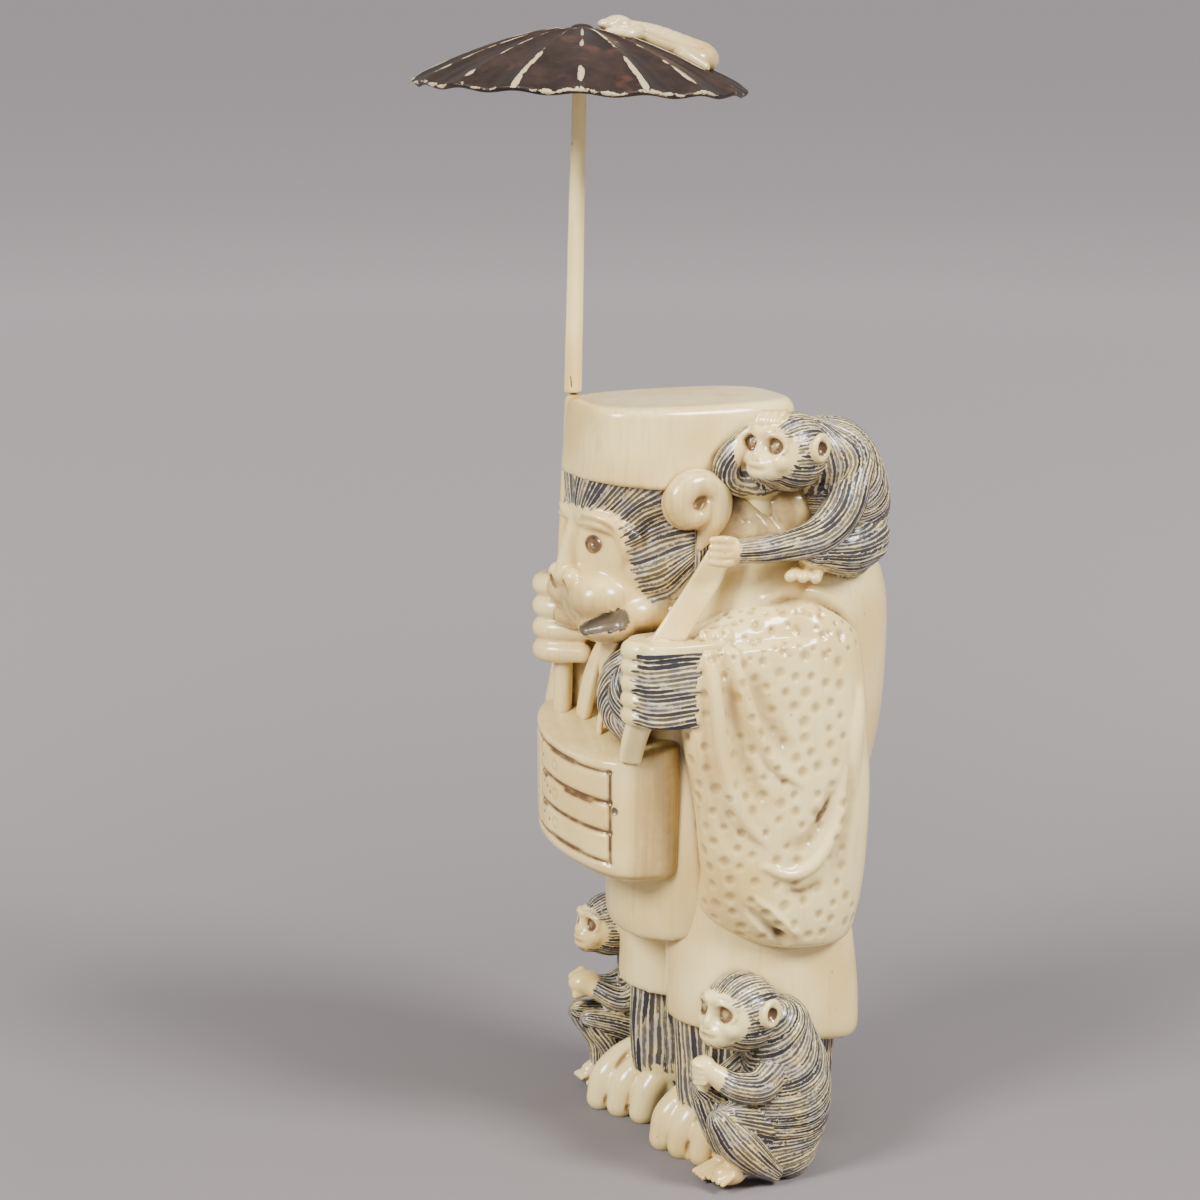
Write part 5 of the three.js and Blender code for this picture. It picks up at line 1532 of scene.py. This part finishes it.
# %% Node helpers
class Graph:
    """A material's node tree, with short ways to add to it."""

    def __init__(self, name):
        self.material = bpy.data.materials.new(name)
        self.material.use_nodes = True
        self.tree = self.material.node_tree
        self.shader = self.tree.nodes["Principled BSDF"]

    def feed(self, socket, value):
        if isinstance(value, bpy.types.NodeSocket):
            self.tree.links.new(value, socket)
        elif isinstance(value, tuple) and len(value) == 3 and socket.type == "RGBA":
            socket.default_value = (*value, 1)
        else:
            socket.default_value = value

    def add(self, kind, inputs=(), output=0, **settings):
        node = self.tree.nodes.new("ShaderNode" + kind)
        for key, value in settings.items():
            setattr(node, key, value)
        for key, value in dict(inputs).items():
            self.feed(node.inputs[key], value)
        return node.outputs[output]

    def maths(self, operation, *values):
        return self.add("Math", enumerate(values), operation=operation)

    def span(self, value, low, high, start=0.0, end=1.0):
        inputs = {"Value": value, "From Min": low, "From Max": high, "To Min": start, "To Max": end}
        return self.add("MapRange", inputs, interpolation_type="SMOOTHSTEP")

    def blend(self, share, first, second):
        inputs = {MIX_SHARE: share, MIX_FIRST: first, MIX_SECOND: second}
        return self.add("Mix", inputs, output=MIX_COLOUR, data_type="RGBA")

    def layer(self, name, output="Fac"):
        return self.add("Attribute", attribute_name=name, output=output)

    def noise(self, place, scale, detail=2.0, roughness=0.5):
        inputs = {"Vector": place, "Scale": scale, "Detail": detail, "Roughness": roughness}
        return self.add("TexNoise", inputs)

    def millimetres(self, stretch=(1, 1, 1)):
        place = self.add("TexCoord", output="Object")
        return self.add("VectorMath", {0: place, 1: tuple(1000 * s for s in stretch)}, operation="MULTIPLY")


# %% [markdown]
# Ivory is pale cream, a little see-through, with upright grain, a few dark pores, honey tones where
# it is sheltered, honey tones painted on some pieces and brown dirt in the cuts. The sheltered tones,
# the dirt in the cuts and some of the painted honey are partly painted shade. The ink strokes follow
# the strand numbers: every strand is broken into strokes with their own width, and it starts at its
# own distance from the bare skin.

# %% Ink strokes
def stroke_layer(graph, place, strand, along, mask, runs, thick):
    """Strokes of one size: `runs` strokes a millimetre along each strand, half widths up to `thick`."""
    number = graph.maths("FLOOR", strand)
    off = graph.maths("ABSOLUTE", graph.maths("SUBTRACT", graph.maths("FRACT", strand), 0.5))
    own = graph.add("TexWhiteNoise", {"W": number}, noise_dimensions="1D")
    length = graph.maths("MULTIPLY_ADD", own, 17.0, graph.maths("MULTIPLY", along, runs))
    stroke = graph.maths("MULTIPLY_ADD", number, 3.7, graph.maths("FLOOR", length))
    chance = graph.add("TexWhiteNoise", {"W": stroke}, noise_dimensions="1D")
    part = graph.maths("FRACT", length)
    bulge = graph.maths("SQRT", graph.maths("MULTIPLY", part, graph.maths("SUBTRACT", 1.0, part)))
    reach = graph.maths("MULTIPLY_ADD", own, -0.75, graph.maths("MULTIPLY", mask, 1.75))
    reach = graph.span(reach, 0.05, 0.9)
    lens = graph.maths("MULTIPLY_ADD", bulge, 1.5, 0.3)
    width = graph.maths("MULTIPLY", lens, graph.span(chance, 0, 1, 0.35, 1.1))
    unevenness = graph.span(graph.noise(place, 1.1), 0.3, 0.7, -0.05, 0.06)
    width = graph.maths("MULTIPLY_ADD", width, thick, unevenness)
    width = graph.maths("MULTIPLY", width, reach)
    strokes = graph.span(graph.maths("SUBTRACT", off, width), 0.06, -0.05)
    strength = graph.maths("MULTIPLY", graph.span(reach, 0.02, 0.25), graph.span(chance, 0, 1, 0.82, 1.0))
    return graph.maths("MULTIPLY", strokes, strength)


def ink_strokes(graph, place):
    """Broad strokes with finer ones between them, and the mask of where hair grows."""
    hair = graph.layer("hair", "Vector")
    strand, along, mask = (graph.add("SeparateXYZ", {0: hair}, output=k) for k in range(3))
    broad = stroke_layer(graph, place, strand, along, mask, 0.11, 0.4)
    fine = stroke_layer(graph, place, graph.maths("MULTIPLY", strand, 2.0), along, mask, 0.3, 0.22)
    return graph.maths("MAXIMUM", broad, graph.maths("MULTIPLY", fine, 0.85)), mask


# %% Ivory
INK = (0.017, 0.016, 0.02)
# The colours of sheltered hollows and of fine cuts are partly patina and partly painted shade.
SHELTERED_PATINA_AND_SHADE, CAVITY_DIRT_AND_SHADE, STAIN = (0.38, 0.235, 0.085), (0.22, 0.125, 0.045), (0.36, 0.225, 0.085)
# The honey colour is partly the ivory's tone and partly painted shade.
DEEP_STAIN, HONEY_AND_SHADE = (0.1, 0.05, 0.02), (0.45, 0.3, 0.1)
PORE, WASH = (0.16, 0.1, 0.05), (0.36, 0.345, 0.335)


def ivory_material(name, pale, warm, inked=True):
    graph = Graph(name)
    place = graph.millimetres()
    grain = graph.noise(graph.millimetres((1, 1, 0.045)), 1.3, 3.0, 0.6)
    mottle = graph.noise(place, 0.45, 4.0, 0.6)
    colour = graph.blend(graph.span(graph.noise(place, 0.055, 2.0), 0.35, 0.68), pale, warm)
    colour = graph.blend(graph.span(grain, 0.52, 0.78, 0, 0.3), colour, tuple(0.72 * w for w in warm))
    strokes, mask = ink_strokes(graph, place) if inked else (0.0, 0.0)
    clean = graph.maths("MULTIPLY_ADD", mask, -0.6, 1.0)
    # Broad hollows take honey patina and painted shade.
    shelter_patina_and_shade = graph.maths("MULTIPLY", graph.layer("shelter_patina_and_shade"), graph.span(mottle, 0.25, 0.7, 0.6, 1.0))
    shelter_patina_and_shade = graph.maths("MULTIPLY", shelter_patina_and_shade, clean)
    colour = graph.blend(shelter_patina_and_shade, colour, SHELTERED_PATINA_AND_SHADE)
    # Fine creases and cuts take brown dirt and painted shade.
    cavity_dirt_and_shade = graph.maths("MULTIPLY", graph.layer("cavity_dirt_and_shade"), graph.span(mottle, 0.3, 0.7, 0.5, 1.0))
    cavity_dirt_and_shade = graph.maths("MULTIPLY", cavity_dirt_and_shade, clean)
    colour = graph.blend(graph.maths("MULTIPLY", cavity_dirt_and_shade, 0.95), colour, CAVITY_DIRT_AND_SHADE)
    stain = graph.maths("MULTIPLY", graph.layer("stain"), graph.span(mottle, 0.3, 0.65, 0.55, 1.0))
    colour = graph.blend(stain, colour, STAIN)
    deep = graph.span(graph.layer("stain"), 0.7, 1.1)
    deep = graph.maths("MULTIPLY", deep, graph.span(mottle, 0.3, 0.6, 0.6, 1))
    colour = graph.blend(deep, colour, DEEP_STAIN)
    # Honey tone from the painted layer, partly real tone and partly painted shade.
    honey_and_shade = graph.maths("MULTIPLY", graph.layer("honey_and_shade"), graph.span(grain, 0.35, 0.7, 0.35, 0.8))
    colour = graph.blend(honey_and_shade, colour, HONEY_AND_SHADE)
    pores = graph.add("TexVoronoi", {"Vector": place, "Scale": 0.33, "Randomness": 1.0}, output="Distance")
    patches = graph.span(graph.noise(place, 0.11), 0.52, 0.6)
    pores = graph.maths("MULTIPLY", graph.span(pores, 0.1, 0.06), patches)
    colour = graph.blend(graph.maths("MULTIPLY", pores, 0.5), colour, PORE)
    height = graph.maths("MULTIPLY_ADD", grain, 0.25, graph.maths("MULTIPLY", mottle, 0.4))
    rough = graph.maths("MULTIPLY_ADD", cavity_dirt_and_shade, 0.25, graph.span(mottle, 0.3, 0.7, 0.17, 0.27))
    if inked:
        wash = graph.maths("MULTIPLY", mask, graph.span(graph.noise(place, 0.3, 3.0), 0.36, 0.64, 0.2, 0.75))
        colour = graph.blend(wash, colour, WASH)
        rubbed = graph.maths("MULTIPLY_ADD", graph.noise(place, 0.9, 3.0), 0.5, graph.layer("ink"))
        rubbed = graph.span(rubbed, 0.5, 0.95)
        edge = graph.maths("MULTIPLY_ADD", graph.noise(place, 1.0), 0.5, graph.layer("rim"))
        edge = graph.span(edge, 0.75, 0.95)
        black = graph.maths("MAXIMUM", strokes, graph.maths("MULTIPLY", rubbed, 0.85))
        black = graph.maths("MAXIMUM", black, edge)
        colour = graph.blend(black, colour, INK)
        height = graph.maths("MULTIPLY_ADD", black, -0.7, height)
        rough = graph.maths("MULTIPLY_ADD", black, 0.15, rough)
    bump = graph.add("Bump", {"Height": height, "Strength": 0.35, "Distance": 0.00012})
    graph.feed(graph.shader.inputs["Base Color"], colour)
    graph.feed(graph.shader.inputs["Roughness"], rough)
    graph.feed(graph.shader.inputs["Normal"], bump)
    for key, value in (
        ("Subsurface Weight", 0.12), ("Subsurface Scale", 0.0011), ("Subsurface Radius", (1.0, 0.6, 0.35)),
        ("Coat Weight", 0.35), ("Coat Roughness", 0.09), ("IOR", 1.52),
    ):
        graph.shader.inputs[key].default_value = value
    return graph.material


ivory = ivory_material("ivory", (0.85, 0.69, 0.325), (0.72, 0.51, 0.18))
pale_ivory = ivory_material("pale_ivory", (0.62, 0.51, 0.29), (0.5, 0.36, 0.16), inked=False)
print("ivories", ivory.name, pale_ivory.name)

# %% [markdown]
# The canopy is painted dark brown over ivory. The paint is streaky and reddish in places, it has
# worn off the ribs and it is chipped along the rim.

# %% Lacquer
def lacquer_material():
    graph = Graph("lacquer")
    place = graph.millimetres()
    cloud = graph.noise(place, 0.16, 4.0, 0.62)
    colour = graph.blend(graph.span(cloud, 0.35, 0.7), (0.013, 0.007, 0.0055), (0.028, 0.015, 0.011))
    reddish = graph.span(graph.noise(place, 0.22, 3.0), 0.56, 0.75, 0, 0.5)
    colour = graph.blend(reddish, colour, (0.085, 0.035, 0.022))
    chips = graph.noise(place, 0.55, 3.0, 0.6)
    worn = graph.maths("MULTIPLY_ADD", chips, 0.5, graph.layer("rib"))
    worn = graph.maths("SUBTRACT", worn, graph.span(graph.noise(place, 0.16), 0.4, 0.6, 0, 0.38))
    chipped = graph.maths("MULTIPLY_ADD", graph.noise(place, 0.34, 4.0, 0.7), 1.5, graph.layer("rim"))
    bare_share = graph.maths("MAXIMUM", graph.span(worn, 0.96, 1.06), graph.span(chipped, 1.7, 1.76))
    colour = graph.blend(bare_share, colour, (0.4, 0.32, 0.2))
    height = graph.maths("MULTIPLY_ADD", bare_share, -0.8, graph.noise(place, 1.5, 3.0))
    bump = graph.add("Bump", {"Height": height, "Strength": 0.4, "Distance": 0.00012})
    graph.feed(graph.shader.inputs["Base Color"], colour)
    graph.feed(graph.shader.inputs["Roughness"], graph.span(cloud, 0.3, 0.7, 0.32, 0.5))
    graph.feed(graph.shader.inputs["Normal"], bump)
    graph.shader.inputs["Specular IOR Level"].default_value = 0.28
    return graph.material


lacquer = lacquer_material()
print("materials", [m.name for m in bpy.data.materials])

# %% [markdown]
# ## Setting in place
# Each piece is scaled from millimetres to metres, moved to the figure's axis, given its finish and
# set to ride on the carving's one body in place of the plain CAD node that it stands for. Pieces
# with many faces are thinned first with Decimate, which takes faces where the skin is nearly flat.

# %% Place, finish and ride
MANY_FACES = 38000
KEPT_SHARE = 0.62     # of the triangles of a piece with many faces


def install(piece, material, node):
    if len(piece.data.polygons) > MANY_FACES:
        apply_modifier(piece, "DECIMATE", ratio=KEPT_SHARE)
    points = get_points(piece)
    points[:, 2] = np.maximum(points[:, 2], 0)
    set_points(piece, points / 1000 + np.array(figure_place))
    piece.data.materials.clear()
    piece.data.materials.append(material)
    only(piece)
    bpy.ops.object.shade_smooth()
    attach(piece, "root")
    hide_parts(node)


for piece in FIGURE_PIECES:
    install(piece, ivory, "monkey_figure")
install(pole, ivory, "parasol_pole")
install(rider, pale_ivory, "canopy_monkey")
install(canopy, lacquer, "parasol_canopy")
counts = {piece.name: sum(len(p.vertices) - 2 for p in piece.data.polygons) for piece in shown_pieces()}
print("triangles", counts, "in all", sum(counts.values()))

# %% Sizes, and the end
low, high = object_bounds()
print("visual box", [round(1000 * (h - l), 1) for l, h in zip(low, high)], "mm")
